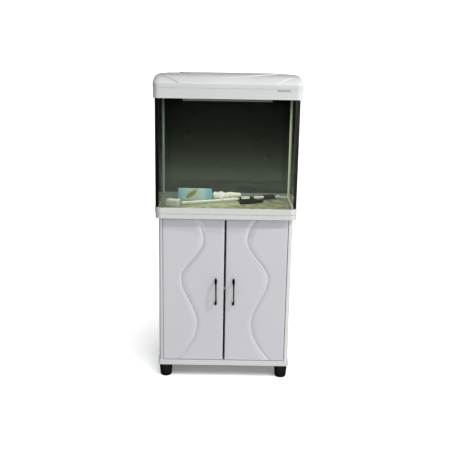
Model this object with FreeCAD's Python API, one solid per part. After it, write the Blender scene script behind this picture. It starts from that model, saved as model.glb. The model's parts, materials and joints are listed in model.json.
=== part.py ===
"""Aquarium on a two-door stand cabinet, in millimetres.

The origin is on the floor under the middle of the overall box: +X is to the right of
someone who faces the doors, the doors look towards -Y and +Z is up.
"""

import FreeCAD, Part

import math
import os

Vector = FreeCAD.Vector

# Overall
HALF_DEPTH = 182.0

# Feet and base board
FOOT_HEIGHT = 58.0
FOOT_TOP_RADIUS = 29.5
FOOT_BOTTOM_RADIUS = 25.0
FOOT_X = 254.3
FOOT_FRONT_Y = -131.0
FOOT_REAR_Y = 126.0
BASE_TOP = 81.0
BASE_HALF_WIDTH = 286.0
BASE_OVERHANG = 5.0
BASE_CORNER = 9.0

# Cabinet body
CABINET_TOP = 722.0
CABINET_HALF_WIDTH = 282.0
BOARD = 16.0
SIDE_REAR = 150.0
BACK_THICKNESS = 3.0
TOP_PANEL_SETBACK = 30.0
SHELF_TOP = 412.0
SHELF_THICKNESS = 9.0
SHELF_FRONT = -137.0
SHELF_PIN_RADIUS = 2.5

# Doors
HANDLE_REACH = 26.0
DOOR_FRONT = -HALF_DEPTH + HANDLE_REACH
DOOR_THICKNESS = 16.0
DOOR_REAR = DOOR_FRONT + DOOR_THICKNESS
DOOR_BOTTOM = 83.0
DOOR_TOP = 717.5
DOOR_INNER = 4.0
DOOR_OUTER = CABINET_HALF_WIDTH - BOARD - 2.0
DOOR_EDGE_ROUND = 1.2
DOOR_MEETING_ROUND = 4.5
GROOVE_WIDTH = 8.0
GROOVE_DEPTH = 3.0

# Pivot hinges
PIVOT_X = DOOR_OUTER - 14.0
PIVOT_Y = DOOR_FRONT + 7.0
PIN_RADIUS = 2.5
PIN_CLEARANCE = 0.05
PIN_LENGTH = 12.0
PLATE_THICKNESS = 2.5
PLATE_HALF_WIDTH = 8.0
PLATE_REAR = -84.0
BUSH_RADIUS = 4.0
BUSH_LENGTH = 14.0
BUSH_FLANGE = 1.6
BUSH_RIM = 2.0
PIN_END_GAP = 0.8

# Handles
HANDLE_X = 38.0
HANDLE_CENTRE_Z = 401.0
HANDLE_LENGTH = 122.0
HANDLE_CENTRES = 96.0
HANDLE_WAIST = 6.0
HANDLE_LEAF = 10.0
LEAF_START = 30.0
HANDLE_THICKNESS = 5.5
HANDLE_BOW = 11.0
HANDLE_FOOT_RADIUS = 4.5

# Tank
TRIM_TOP = 769.0
TRIM_HALF_WIDTH = 297.0
TRIM_FRONT = DOOR_FRONT - 20.0
TRIM_REAR = 168.0
TRIM_CORNER = 28.0
TRIM_REAR_CORNER = 2.5
TRIM_WALL = 2.0
TRIM_LEDGE_TOP = 745.0
TRIM_SPLIT = 744.0
FOAM = 2.0
GLASS = 6.0
GLASS_HALF_WIDTH = 294.7
GLASS_FRONT = TRIM_FRONT + 2.3
GLASS_REAR = TRIM_REAR - 2.3
GLASS_BEND = 26.0
GLASS_BOTTOM = TRIM_LEDGE_TOP + FOAM
GLASS_TOP = 1226.0
FLOOR_TOP = GLASS_BOTTOM + GLASS
FILM = 0.5
SEAL = 5.5

# Hood
HOOD_BOTTOM = 1217.5
HOOD_SPLIT = 1258.5
HOOD_GAP = 1.0
HOOD_BREAK = 1275.0
HOOD_HALF_WIDTH = 302.0
HOOD_FRONT = TRIM_FRONT - 1.0
HOOD_REAR = HOOD_FRONT + 350.0
HOOD_CORNER = 24.0
HOOD_REAR_CORNER = 14.0
HOOD_WALL = 2.5
DECK_TOP = GLASS_TOP + 2.5
PANEL_RISE = 1.6
GRIP_RISE = 2.4
KNUCKLE_RADIUS = 4.2
HINGE_Y = HALF_DEPTH - KNUCKLE_RADIUS
HINGE_Z = HOOD_SPLIT + 0.5 * HOOD_GAP
HINGE_X = 175.0
KNUCKLE = 16.0

# Lamp under the hood
LAMP_HALF_LENGTH = 185.0
LAMP_FRONT = -106.0
LAMP_REAR = -46.0
LAMP_BOTTOM = 1204.0

# Filter tray in the hood
TRAY_HALF_LENGTH = 214.0
TRAY_FRONT = 76.0
TRAY_REAR = 144.0
TRAY_BOTTOM = 1205.0

# Slots in screw heads
CROSS_LENGTH = 4.4
CROSS_WIDTH = 1.0
CROSS_DEPTH = 1.0

LEFT = -1
RIGHT = 1
SIDES = ((LEFT, "left"), (RIGHT, "right"))


def save(name, *solids):
    """Write the solids of one node; a group of separate solids becomes a compound."""
    shape = solids[0] if len(solids) == 1 else Part.makeCompound(list(solids))
    shape.exportStep(os.path.join("parts", name + ".step"))


def slab(x0, x1, y0, y1, z0, z1):
    """A plain block between two corners, which may be given in either order."""
    low = Vector(min(x0, x1), min(y0, y1), min(z0, z1))
    return Part.makeBox(abs(x1 - x0), abs(y1 - y0), abs(z1 - z0), low)


def rod(radius, start, end):
    """A round bar from one point to another."""
    start = Vector(*start)
    along = Vector(*end) - start
    return Part.makeCylinder(radius, along.Length, start, along)


def rounded_wire(x0, x1, y0, y1, z, front, rear):
    """A closed rectangle at height z, with one radius for its front corners and one behind."""
    corners = (
        (x0, y0, 1, 1, front),
        (x1, y0, -1, 1, front),
        (x1, y1, -1, -1, rear),
        (x0, y1, 1, -1, rear),
    )
    edges = []
    ends = []
    for index, (x, y, sx, sy, radius) in enumerate(corners):
        along_x = Vector(x + sx * radius, y, z)
        along_y = Vector(x, y + sy * radius, z)
        first, last = (along_y, along_x) if index % 2 == 0 else (along_x, along_y)
        bend = radius * (1.0 - math.sqrt(0.5))
        middle = Vector(x + sx * bend, y + sy * bend, z)
        ends.append((first, middle, last))
    for index, (first, middle, last) in enumerate(ends):
        if (first - last).Length > 1e-6:
            edges.append(Part.Arc(first, middle, last).toShape())
        following = ends[(index + 1) % 4][0]
        edges.append(Part.LineSegment(last, following).toShape())
    return Part.Wire(edges)


def rounded_slab(x0, x1, y0, y1, z0, z1, front, rear=None):
    """An upright block whose vertical corners are rounded."""
    wire = rounded_wire(x0, x1, y0, y1, z0, front, front if rear is None else rear)
    return Part.Face(wire).extrude(Vector(0, 0, z1 - z0))


def soften(solid, radius, chosen):
    """Round the edges of a solid for which chosen(edge) is true."""
    edges = [edge for edge in solid.Edges if chosen(edge)]
    return solid.makeFillet(radius, edges)


def at_height(z):
    """Choose the edges that lie wholly at one height."""
    return lambda edge: all(abs(v.Point.z - z) < 1e-4 for v in edge.Vertexes)


def at_depth(y):
    """Choose the edges that lie wholly at one place from front to rear."""
    return lambda edge: all(abs(v.Point.y - y) < 1e-4 for v in edge.Vertexes)


def is_upright(edge):
    """Choose the edges that run straight up."""
    first, last = edge.Vertexes[0].Point, edge.Vertexes[-1].Point
    return abs(first.x - last.x) < 1e-4 and abs(first.y - last.y) < 1e-4


def above(z):
    """Choose the edges whose middle lies above a height."""
    return lambda edge: edge.CenterOfMass.z > z


def cut_all(solid, tools):
    """Cut each tool away in turn."""
    for tool in tools:
        solid = solid.cut(tool)
    return solid


def mirrored(solid):
    """The same piece on the other side of the middle plane."""
    return solid.mirror(Vector(0, 0, 0), Vector(1, 0, 0))


def on_side(side, solid):
    """A piece modelled on the right, moved to the side asked for."""
    return solid if side == RIGHT else mirrored(solid)


def countersunk(x, y, z, down, radius, length):
    """A countersunk screw whose flat head lies at z, pointing down (-1) or up (+1)."""
    head = 2.0 * radius
    axis = Vector(0, 0, down)
    cone = Part.makeCone(head, radius, radius, Vector(x, y, z), axis)
    shank = Part.makeCylinder(radius, length, Vector(x, y, z), axis)
    return cone.fuse(shank).removeSplitter()


def cross(x, y, z0, z1, length, width):
    """Two crossed slots between two heights, for cutting in a head or a cam."""
    bars = []
    for wide, deep in ((length, width), (width, length)):
        bars.append(slab(x - wide / 2, x + wide / 2, y - deep / 2, y + deep / 2, z0, z1))
    return bars


def slotted(screw, x, y, z, down):
    """Cut a cross slot in a flat screw head."""
    return cut_all(screw, cross(x, y, z, z + down * CROSS_DEPTH, CROSS_LENGTH, CROSS_WIDTH))


# ---------------------------------------------------------------- feet and base board


FEET = (
    ("foot_front_left", -FOOT_X, FOOT_FRONT_Y),
    ("foot_front_right", FOOT_X, FOOT_FRONT_Y),
    ("foot_rear_left", -FOOT_X, FOOT_REAR_Y),
    ("foot_rear_right", FOOT_X, FOOT_REAR_Y),
)
FOOT_SOLE_ROUND = 8.0
FOOT_BORE = 4.0
FOOT_RECESS = 10.0
FOOT_SEAT = 30.0
BOLT_HEAD = 7.5
BOLT_HEAD_HEIGHT = 5.5
BOLT_TOP = BASE_TOP - 4.0


def foot(x, y):
    """A round foot that narrows downwards, with a deep recess for its bolt."""
    bend = FOOT_SOLE_ROUND * (1.0 - math.sqrt(0.5))
    low = Vector(FOOT_BOTTOM_RADIUS - FOOT_SOLE_ROUND, 0, 0)
    middle = Vector(FOOT_BOTTOM_RADIUS - bend, 0, bend)
    side = Vector(FOOT_BOTTOM_RADIUS, 0, FOOT_SOLE_ROUND)
    edges = [Part.Arc(low, middle, side).toShape()]
    outline = [
        side,
        Vector(FOOT_TOP_RADIUS, 0, FOOT_HEIGHT),
        Vector(FOOT_BORE, 0, FOOT_HEIGHT),
        Vector(FOOT_BORE, 0, FOOT_SEAT),
        Vector(FOOT_RECESS, 0, FOOT_SEAT),
        Vector(FOOT_RECESS, 0, 0),
        low,
    ]
    for first, last in zip(outline, outline[1:]):
        edges.append(Part.LineSegment(first, last).toShape())
    profile = Part.Face(Part.Wire(edges))
    solid = profile.revolve(Vector(0, 0, 0), Vector(0, 0, 1), 360)
    solid.translate(Vector(x, y, 0))
    return solid


def foot_bolt(x, y):
    """A hexagon bolt that holds a foot to the base board from below."""
    low = FOOT_SEAT - BOLT_HEAD_HEIGHT
    corners = []
    for step in range(7):
        angle = math.radians(60 * step)
        corners.append(Vector(x + BOLT_HEAD * math.cos(angle), y + BOLT_HEAD * math.sin(angle), low))
    head = Part.Face(Part.makePolygon(corners)).extrude(Vector(0, 0, BOLT_HEAD_HEIGHT))
    return head.fuse(rod(FOOT_BORE, (x, y, FOOT_SEAT), (x, y, BOLT_TOP))).removeSplitter()


BASE_SCREW_RADIUS = 3.2
BASE_SCREW_LENGTH = 70.0
BASE_SCREW_X = CABINET_HALF_WIDTH - BOARD / 2
BASE_SCREW_Y = (-78.0, 82.0)
BASE_SCREWS = [(side * BASE_SCREW_X, y) for side in (LEFT, RIGHT) for y in BASE_SCREW_Y]
BASE_ROUND_TOP = 2.0
BASE_ROUND_BOTTOM = 1.5


def base_screw_blank(x, y):
    """A base screw before its slot is cut; the boards are cut with it too."""
    return countersunk(x, y, FOOT_HEIGHT, 1, BASE_SCREW_RADIUS, BASE_SCREW_LENGTH)


def base_screw(x, y):
    """A long screw up through the base board into the bottom edge of a side panel."""
    return slotted(base_screw_blank(x, y), x, y, FOOT_HEIGHT, 1)


def base_board():
    """The plinth board: wider than the body, with rounded corners and a soft upper edge."""
    rear = SIDE_REAR + BACK_THICKNESS + BASE_OVERHANG
    solid = rounded_slab(-BASE_HALF_WIDTH, BASE_HALF_WIDTH, DOOR_FRONT - BASE_OVERHANG, rear,
                         FOOT_HEIGHT, BASE_TOP, BASE_CORNER)
    solid = soften(solid, BASE_ROUND_TOP, at_height(BASE_TOP))
    solid = soften(solid, BASE_ROUND_BOTTOM, at_height(FOOT_HEIGHT))
    tools = [rod(FOOT_BORE, (x, y, FOOT_HEIGHT - 1), (x, y, BOLT_TOP)) for _, x, y in FEET]
    tools += [base_screw_blank(x, y) for x, y in BASE_SCREWS]
    for side in (LEFT, RIGHT):
        tools.append(pivot_blank(side, BASE_TOP - PLATE_THICKNESS))
        tools.append(pivot_rod(side, PIN_RADIUS, BASE_TOP - PIN_ROOT, BASE_TOP))
        tools += [plate_screw(side, y, BASE_TOP) for y in PLATE_SCREW_Y]
    return cut_all(solid, tools)


# ---------------------------------------------------------------- pivot hinges


PLATE_SCREW_Y = (-114.0, -95.0)
PLATE_SCREW_RADIUS = 2.0
PLATE_SCREW_LENGTH = 13.0
PLATE_NOSE_Y = PIVOT_Y + 1.2
PLATE_SETBACK = 0.5
PIN_ROOT = 8.0


def pivot_rod(side, radius, z0, z1):
    """A bar on one door's hinge line."""
    return rod(radius, (side * PIVOT_X, PIVOT_Y, z0), (side * PIVOT_X, PIVOT_Y, z1))


def pivot_blank(side, z):
    """The outline of one hinge plate, round at the pin and square behind."""
    x0 = side * PIVOT_X - PLATE_HALF_WIDTH
    x1 = side * PIVOT_X + PLATE_HALF_WIDTH
    top = z + PLATE_THICKNESS
    nose = rod(PLATE_HALF_WIDTH, (side * PIVOT_X, PLATE_NOSE_Y, z), (side * PIVOT_X, PLATE_NOSE_Y, top))
    nose = nose.common(slab(x0, x1, DOOR_FRONT + PLATE_SETBACK, 0, z, top))
    return nose.fuse(slab(x0, x1, PLATE_NOSE_Y, PLATE_REAR, z, top)).removeSplitter()


def plate_screw(side, y, surface):
    """A countersunk screw of a hinge plate, before its slot is cut."""
    return countersunk(side * PIVOT_X, y, surface, -1, PLATE_SCREW_RADIUS, PLATE_SCREW_LENGTH)


def pivot_plate(side, surface):
    """A steel plate let into a board, with a hole for its pin and two countersunk holes."""
    bottom = surface - PLATE_THICKNESS
    tools = [pivot_rod(side, PIN_RADIUS, bottom, surface)]
    tools += [plate_screw(side, y, surface) for y in PLATE_SCREW_Y]
    return cut_all(pivot_blank(side, bottom), tools)


def pivot_pins():
    """Pins pressed in the plates: up from the base board and down from the top panel."""
    pins = []
    for side in (LEFT, RIGHT):
        pins.append(pivot_rod(side, PIN_RADIUS, BASE_TOP - PIN_ROOT, DOOR_BOTTOM + PIN_LENGTH))
        pins.append(pivot_rod(side, PIN_RADIUS, DOOR_TOP - PIN_LENGTH, CABINET_TOP))
    return pins


def pivot_screws():
    """Two screws for each of the four hinge plates."""
    screws = []
    for side in (LEFT, RIGHT):
        for y in PLATE_SCREW_Y:
            for z in (BASE_TOP, CABINET_TOP):
                screw = plate_screw(side, y, z)
                screws.append(slotted(screw, side * PIVOT_X, y, z, -1))
    return screws


def bush(side, z, inward):
    """A flanged nylon bush in a door edge; inward is +1 at the bottom and -1 at the top."""
    start = z - inward * BUSH_FLANGE
    flange = pivot_rod(side, BUSH_RADIUS + BUSH_RIM, start, z)
    barrel = pivot_rod(side, BUSH_RADIUS, z, z + inward * BUSH_LENGTH)
    bore_end = z + inward * (PIN_LENGTH + PIN_END_GAP)
    bore = pivot_rod(side, PIN_RADIUS + PIN_CLEARANCE, start, bore_end)
    return flange.fuse(barrel).removeSplitter().cut(bore)


# ---------------------------------------------------------------- cabinet boards


CAM_RADIUS = 7.5
CAM_DEPTH = 12.5
CAM_SLOT_LENGTH = 9.0
CAM_SLOT_WIDTH = 1.6
CAM_SLOT_DEPTH = 2.0
CAM_X = CABINET_HALF_WIDTH - BOARD - 34.0
CAM_Y = (-70.0, 110.0)
STUD_RADIUS = 3.5
STUD_START = CAM_X + 3.0
STUD_END = CABINET_HALF_WIDTH - 5.0
SHELF_PIN_Y = (-90.0, 100.0)
SHELF_PIN_Z = SHELF_TOP - SHELF_THICKNESS - SHELF_PIN_RADIUS
INNER = CABINET_HALF_WIDTH - BOARD
SHELF_PIN_START = INNER - 7.0
SHELF_PIN_END = INNER + 9.0
SIDE_ROUND_OUTER = 13.0
SIDE_ROUND_INNER = 1.0


def cam_lock(side, y):
    """A cam disc let into the underside of the top panel, with a cross slot."""
    x = side * CAM_X
    bottom = CABINET_TOP - BOARD
    disc = rod(CAM_RADIUS, (x, y, bottom), (x, y, bottom + CAM_DEPTH))
    slots = cross(x, y, bottom, bottom + CAM_SLOT_DEPTH, CAM_SLOT_LENGTH, CAM_SLOT_WIDTH)
    return cut_all(disc, slots + [cam_stud(side, y)])


def cam_stud(side, y):
    """The stud that a cam draws in, from the top panel into a side panel."""
    z = CABINET_TOP - BOARD / 2
    return rod(STUD_RADIUS, (side * STUD_START, y, z), (side * STUD_END, y, z))


def shelf_pin(side, y):
    """A plain pin in a side panel, under the shelf."""
    start = (side * SHELF_PIN_START, y, SHELF_PIN_Z)
    return rod(SHELF_PIN_RADIUS, start, (side * SHELF_PIN_END, y, SHELF_PIN_Z))


def side_panel(side):
    """A side board with rounded front edges and holes for its fixings."""
    solid = slab(INNER, CABINET_HALF_WIDTH, DOOR_FRONT, SIDE_REAR, BASE_TOP, CABINET_TOP)
    front = at_depth(DOOR_FRONT)
    middle = CABINET_HALF_WIDTH - BOARD / 2
    for radius, outer in ((SIDE_ROUND_OUTER, True), (SIDE_ROUND_INNER, False)):
        solid = soften(solid, radius, lambda edge: front(edge) and is_upright(edge)
                       and (edge.CenterOfMass.x > middle) == outer)
    solid = on_side(side, solid)
    tools = [cam_stud(side, y) for y in CAM_Y]
    tools += [shelf_pin(side, y) for y in SHELF_PIN_Y]
    tools += [back_screw_shank(x, z) for x, z in back_screw_places()]
    tools += [base_screw_blank(x, y) for x, y in BASE_SCREWS]
    return cut_all(solid, tools)


def top_panel():
    """The load-bearing board between the sides, set back so that the doors clear it."""
    front = DOOR_FRONT + TOP_PANEL_SETBACK
    solid = slab(-INNER, INNER, front, SIDE_REAR, CABINET_TOP - BOARD, CABINET_TOP)
    tools = []
    for side in (LEFT, RIGHT):
        tools.append(pivot_blank(side, CABINET_TOP - PLATE_THICKNESS))
        tools += [plate_screw(side, y, CABINET_TOP) for y in PLATE_SCREW_Y]
        for y in CAM_Y:
            bottom = CABINET_TOP - BOARD
            tools.append(cam_stud(side, y))
            tools.append(rod(CAM_RADIUS, (side * CAM_X, y, bottom), (side * CAM_X, y, bottom + CAM_DEPTH)))
    tools += catch_screw_shanks()
    return cut_all(solid, tools)


HOSE_X0 = 120.0
HOSE_X1 = 220.0
HOSE_Z0 = 600.0
HOSE_Z1 = 670.0
HOSE_CORNER = 20.0
BACK_SCREW_COUNT = 5
BACK_SCREW_PITCH = 145.0
BACK_SCREW_START = BASE_TOP + 30.0
BACK_SCREW_RADIUS = 1.5
BACK_SCREW_LENGTH = 14.0
BACK_HEAD_RADIUS = 3.5
BACK_HEAD_HEIGHT = 1.8
BACK_OUTER = SIDE_REAR + BACK_THICKNESS


def upright_hole(x0, x1, z0, z1, radius, y0, y1):
    """A hole through a back wall, with rounded corners."""
    flat = rounded_slab(x0, x1, z0, z1, 0, y1 - y0, radius)
    flat.rotate(Vector(0, 0, 0), Vector(1, 0, 0), 90)
    flat.translate(Vector(0, y1, 0))
    return flat


def back_screw_places():
    """The middle of each side panel's rear edge, at even heights."""
    x = CABINET_HALF_WIDTH - BOARD / 2
    heights = [BACK_SCREW_START + step * BACK_SCREW_PITCH for step in range(BACK_SCREW_COUNT)]
    return [(side * x, z) for side in (LEFT, RIGHT) for z in heights]


def back_screw_shank(x, z):
    """The part of a back screw that is sunk in the boards."""
    return rod(BACK_SCREW_RADIUS, (x, BACK_OUTER - BACK_SCREW_LENGTH, z), (x, BACK_OUTER, z))


def back_screw(x, z):
    """A short pan-head screw through the back panel into a side panel."""
    end = BACK_OUTER + BACK_HEAD_HEIGHT
    head = rod(BACK_HEAD_RADIUS, (x, BACK_OUTER, z), (x, end, z))
    half, wide = BACK_HEAD_RADIUS, 0.5 * CROSS_WIDTH
    slot = slab(x - half, x + half, end - 0.5 * BACK_HEAD_HEIGHT, end, z - wide, z + wide)
    return head.cut(slot).fuse(back_screw_shank(x, z)).removeSplitter()


def back_panel():
    """A thin board over the whole rear, with a cut-out for hoses and cables."""
    solid = slab(-CABINET_HALF_WIDTH, CABINET_HALF_WIDTH, SIDE_REAR, BACK_OUTER, BASE_TOP, CABINET_TOP)
    tools = [upright_hole(HOSE_X0, HOSE_X1, HOSE_Z0, HOSE_Z1, HOSE_CORNER, SIDE_REAR - 1, BACK_OUTER + 1)]
    tools += [back_screw_shank(x, z) for x, z in back_screw_places()]
    return cut_all(solid, tools)


SHELF_SIDE_GAP = 1.0
SHELF_REAR_GAP = 2.0
SHELF_ROUND = 1.0
SHELF_NOTCH_X = 228.0
SHELF_NOTCH_Y = -128.0


def shelf():
    """A loose board on four pins, with front corners cut back for the swing of the doors."""
    half = INNER - SHELF_SIDE_GAP
    solid = slab(-half, half, SHELF_FRONT, SIDE_REAR - SHELF_REAR_GAP, SHELF_TOP - SHELF_THICKNESS, SHELF_TOP)
    front = at_depth(SHELF_FRONT)
    solid = soften(solid, SHELF_ROUND, lambda edge: front(edge) and not is_upright(edge))
    low, high = SHELF_TOP - SHELF_THICKNESS - 1, SHELF_TOP + 1
    corners = [slab(side * SHELF_NOTCH_X, side * INNER, SHELF_FRONT - 1, SHELF_NOTCH_Y, low, high)
               for side in (LEFT, RIGHT)]
    return cut_all(solid, corners)


# ---------------------------------------------------------------- magnetic catches


CATCH_INNER = 14.0
CATCH_OUTER = 58.0
CATCH_HEIGHT = 14.0
CATCH_REAR = -108.0
STRIKE = 1.2
CATCH_FRONT = DOOR_REAR + STRIKE + 0.4
CATCH_SCREW_Y = -116.0
CATCH_SCREW_RADIUS = 1.7
CATCH_SCREW_LENGTH = 14.0
CATCH_FOOT = 3.0
CATCH_EAR = 9.0
CATCH_EAR_SETBACK = 12.0
CATCH_TOP = CABINET_TOP - BOARD
CATCH_MIDDLE = 0.5 * (CATCH_INNER + CATCH_OUTER)
CATCH_HEAD_RADIUS = 3.0
CATCH_HEAD_HEIGHT = 1.8
MAGNET_HALF = 8.0
MAGNET_PROUD = 0.3
MAGNET_LENGTH = 14.0
MAGNET_BOTTOM = CATCH_TOP - CATCH_HEIGHT + 3.0
MAGNET_TOP = CATCH_TOP - 4.0
STRIKE_HALF = 12.0
STRIKE_TOP = CATCH_TOP - 1.0


def catch_screw_shanks():
    """The shanks of the screws that go up through the ears of both catches."""
    bottom = CATCH_TOP - CATCH_FOOT
    top = bottom + CATCH_SCREW_LENGTH
    places = (CATCH_INNER + 0.5 * CATCH_EAR, CATCH_OUTER - 0.5 * CATCH_EAR)
    shanks = []
    for x in [side * place for side in (LEFT, RIGHT) for place in places]:
        shanks.append(rod(CATCH_SCREW_RADIUS, (x, CATCH_SCREW_Y, bottom), (x, CATCH_SCREW_Y, top)))
    return shanks


def catch_screws():
    """The same screws with their slotted heads, which face down."""
    screws = []
    high = CATCH_TOP - CATCH_FOOT
    low = high - CATCH_HEAD_HEIGHT
    half, wide = CATCH_HEAD_RADIUS, 0.5 * CROSS_WIDTH
    for shank in catch_screw_shanks():
        x, y = shank.CenterOfMass.x, shank.CenterOfMass.y
        head = rod(half, (x, y, low), (x, y, high))
        slot = slab(x - half, x + half, y - wide, y + wide, low, low + 0.5 * CATCH_HEAD_HEIGHT)
        screws.append(head.cut(slot).fuse(shank).removeSplitter())
    return screws


def catch_magnet(side):
    """The magnet with its pole plates, which stands a little proud of its housing."""
    middle = side * CATCH_MIDDLE
    front = CATCH_FRONT - MAGNET_PROUD
    return slab(middle - MAGNET_HALF, middle + MAGNET_HALF, front, front + MAGNET_LENGTH,
                MAGNET_BOTTOM, MAGNET_TOP)


def catch_housing(side):
    """A plastic housing with an ear on each side, screwed up under the top panel."""
    x0, x1 = side * (CATCH_INNER + CATCH_EAR), side * (CATCH_OUTER - CATCH_EAR)
    box = slab(x0, x1, CATCH_FRONT, CATCH_REAR, CATCH_TOP - CATCH_HEIGHT, CATCH_TOP)
    ears = slab(side * CATCH_INNER, side * CATCH_OUTER, CATCH_FRONT + CATCH_EAR_SETBACK, CATCH_REAR,
                CATCH_TOP - CATCH_FOOT, CATCH_TOP)
    solid = box.fuse(ears).removeSplitter()
    return cut_all(solid, [catch_magnet(side)] + catch_screw_shanks())


def strike_plate(side):
    """A thin steel plate on the back of a door, facing the magnet."""
    middle = side * CATCH_MIDDLE
    return slab(middle - STRIKE_HALF, middle + STRIKE_HALF, DOOR_REAR, DOOR_REAR + STRIKE,
                CATCH_TOP - CATCH_HEIGHT, STRIKE_TOP)


# ---------------------------------------------------------------- doors and handles


WAVE = (
    (131.0, DOOR_TOP),
    (92.5, 626.0),
    (187.0, 457.0),
    (117.5, 254.0),
    (203.0, DOOR_BOTTOM),
)
WAVE_START = Vector(-0.66, 0, -0.75)
WAVE_END = Vector(0.70, 0, -0.72)
WAVE_STEPS = 40
GROOVE_RUN_OFF = 6.0


def wave_curve():
    """The line of the groove on the right door: it swings between three upright tangents."""
    points = [Vector(x, 0, z) for x, z in WAVE]
    curve = Part.BSplineCurve()
    tangents = [WAVE_START] + [Vector(0, 0, -1)] * 3 + [WAVE_END]
    flags = [True] * len(points)
    curve.interpolate(Points=points, Tangents=tangents, TangentFlags=flags, Scale=True)
    return curve


def groove_tool(side):
    """A shallow band that follows the wave and runs off the door at both ends."""
    curve = wave_curve()
    first, last = curve.FirstParameter, curve.LastParameter
    rails = []
    for offset in (-0.5 * GROOVE_WIDTH, 0.5 * GROOVE_WIDTH):
        rail = []
        for step in range(WAVE_STEPS + 1):
            value = first + (last - first) * step / WAVE_STEPS
            point = curve.value(value)
            tangent = curve.tangent(value)[0]
            rail.append(point + Vector(tangent.z, 0, -tangent.x) * offset)
        start = rail[0] - (rail[1] - rail[0]).normalize() * GROOVE_RUN_OFF
        end = rail[-1] + (rail[-1] - rail[-2]).normalize() * GROOVE_RUN_OFF
        spline = Part.BSplineCurve()
        spline.interpolate([start] + rail + [end])
        rails.append(spline.toShape())
    ends = [
        Part.LineSegment(rails[0].Vertexes[0].Point, rails[1].Vertexes[0].Point).toShape(),
        Part.LineSegment(rails[0].Vertexes[-1].Point, rails[1].Vertexes[-1].Point).toShape(),
    ]
    wire = Part.Wire(Part.__sortEdges__(rails + ends))
    band = Part.Face(wire).extrude(Vector(0, GROOVE_DEPTH + 1.0, 0))
    band.translate(Vector(0, DOOR_FRONT - 1.0, 0))
    return on_side(side, band)


HANDLE_SCREW_RADIUS = 2.0
HANDLE_SCREW_REACH = 8.0
HANDLE_HEAD_RADIUS = 4.0
HANDLE_HEAD_HEIGHT = 2.4
HANDLE_POST = 14.5
LEAF_WIDEST = 0.55


def handle_screw_heights():
    """The heights of a handle's two feet."""
    return [HANDLE_CENTRE_Z + sign * HANDLE_CENTRES / 2 for sign in (-1, 1)]


def handle_screw_shank(side, z):
    """The part of a handle's screw that is inside the door and the foot."""
    x = side * HANDLE_X
    return rod(HANDLE_SCREW_RADIUS, (x, DOOR_FRONT - HANDLE_SCREW_REACH, z), (x, DOOR_REAR, z))


def handle_screw(side, z):
    """A machine screw from the back of the door into a foot of the handle."""
    x = side * HANDLE_X
    end = DOOR_REAR + HANDLE_HEAD_HEIGHT
    head = rod(HANDLE_HEAD_RADIUS, (x, DOOR_REAR, z), (x, end, z))
    half, wide = HANDLE_HEAD_RADIUS, 0.5 * CROSS_WIDTH
    slot = slab(x - half, x + half, end - CROSS_DEPTH, end, z - wide, z + wide)
    return head.cut(slot).fuse(handle_screw_shank(side, z)).removeSplitter()


def door(side):
    """An inset door: soft edges, a wave groove, pockets for bushes and handle screws."""
    solid = slab(DOOR_INNER, DOOR_OUTER, DOOR_FRONT, DOOR_REAR, DOOR_BOTTOM, DOOR_TOP)
    front = at_depth(DOOR_FRONT)
    middle = 0.5 * (DOOR_INNER + DOOR_OUTER)
    for radius, meeting in ((DOOR_MEETING_ROUND, True), (DOOR_EDGE_ROUND, False)):
        solid = soften(solid, radius, lambda edge: front(edge)
                       and (is_upright(edge) and edge.CenterOfMass.x < middle) == meeting)
    solid = on_side(side, solid)
    tools = [
        groove_tool(side),
        pivot_rod(side, BUSH_RADIUS, DOOR_BOTTOM - 1, DOOR_BOTTOM + BUSH_LENGTH),
        pivot_rod(side, BUSH_RADIUS, DOOR_TOP + 1, DOOR_TOP - BUSH_LENGTH),
    ]
    tools += [handle_screw_shank(side, z) for z in handle_screw_heights()]
    return cut_all(solid, tools)


def bow_arc(y):
    """One long edge of the bar seen from the side, furthest out at its middle."""
    half = 0.5 * HANDLE_LENGTH
    low = Vector(0, y + HANDLE_BOW, HANDLE_CENTRE_Z - half)
    high = Vector(0, y + HANDLE_BOW, HANDLE_CENTRE_Z + half)
    return Part.Arc(low, Vector(0, y, HANDLE_CENTRE_Z), high).toShape()


def bow_strip():
    """The side view of a bowed bar: two arcs closed by short ends, in the YZ plane."""
    outer = bow_arc(-HALF_DEPTH)
    inner = bow_arc(-HALF_DEPTH + HANDLE_THICKNESS)
    ends = [
        Part.LineSegment(outer.Vertexes[0].Point, inner.Vertexes[0].Point).toShape(),
        Part.LineSegment(outer.Vertexes[-1].Point, inner.Vertexes[-1].Point).toShape(),
    ]
    return Part.Face(Part.Wire(Part.__sortEdges__([outer, inner] + ends)))


def handle_outline():
    """The front view of a handle: a slim middle that swells into a leaf at each end."""
    waist, leaf, half = 0.5 * HANDLE_WAIST, 0.5 * HANDLE_LEAF, 0.5 * HANDLE_LENGTH
    edges = []
    for sx in (-1, 1):
        low, high = Vector(sx * waist, 0, -LEAF_START), Vector(sx * waist, 0, LEAF_START)
        edges.append(Part.LineSegment(low, high).toShape())
        for sz in (-1, 1):
            root = Vector(sx * waist, 0, sz * LEAF_START)
            widest = Vector(sx * leaf, 0, sz * LEAF_WIDEST * (LEAF_START + half))
            edges.append(Part.Arc(root, widest, Vector(0, 0, sz * half)).toShape())
    return Part.Face(Part.Wire(Part.__sortEdges__(edges)))


def handle_bow(side):
    """The bowed bar of a handle, which reaches furthest from the door at its middle."""
    solid = bow_strip().extrude(Vector(2 * HANDLE_LEAF, 0, 0))
    solid.translate(Vector(-HANDLE_LEAF, 0, 0))
    outline = handle_outline().extrude(Vector(0, HANDLE_REACH + 2, 0))
    outline.translate(Vector(0, -HALF_DEPTH - 1, HANDLE_CENTRE_Z))
    solid = solid.common(outline)
    solid.translate(Vector(side * HANDLE_X, 0, 0))
    return cut_all(solid, [handle_screw_shank(side, z) for z in handle_screw_heights()])


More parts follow.
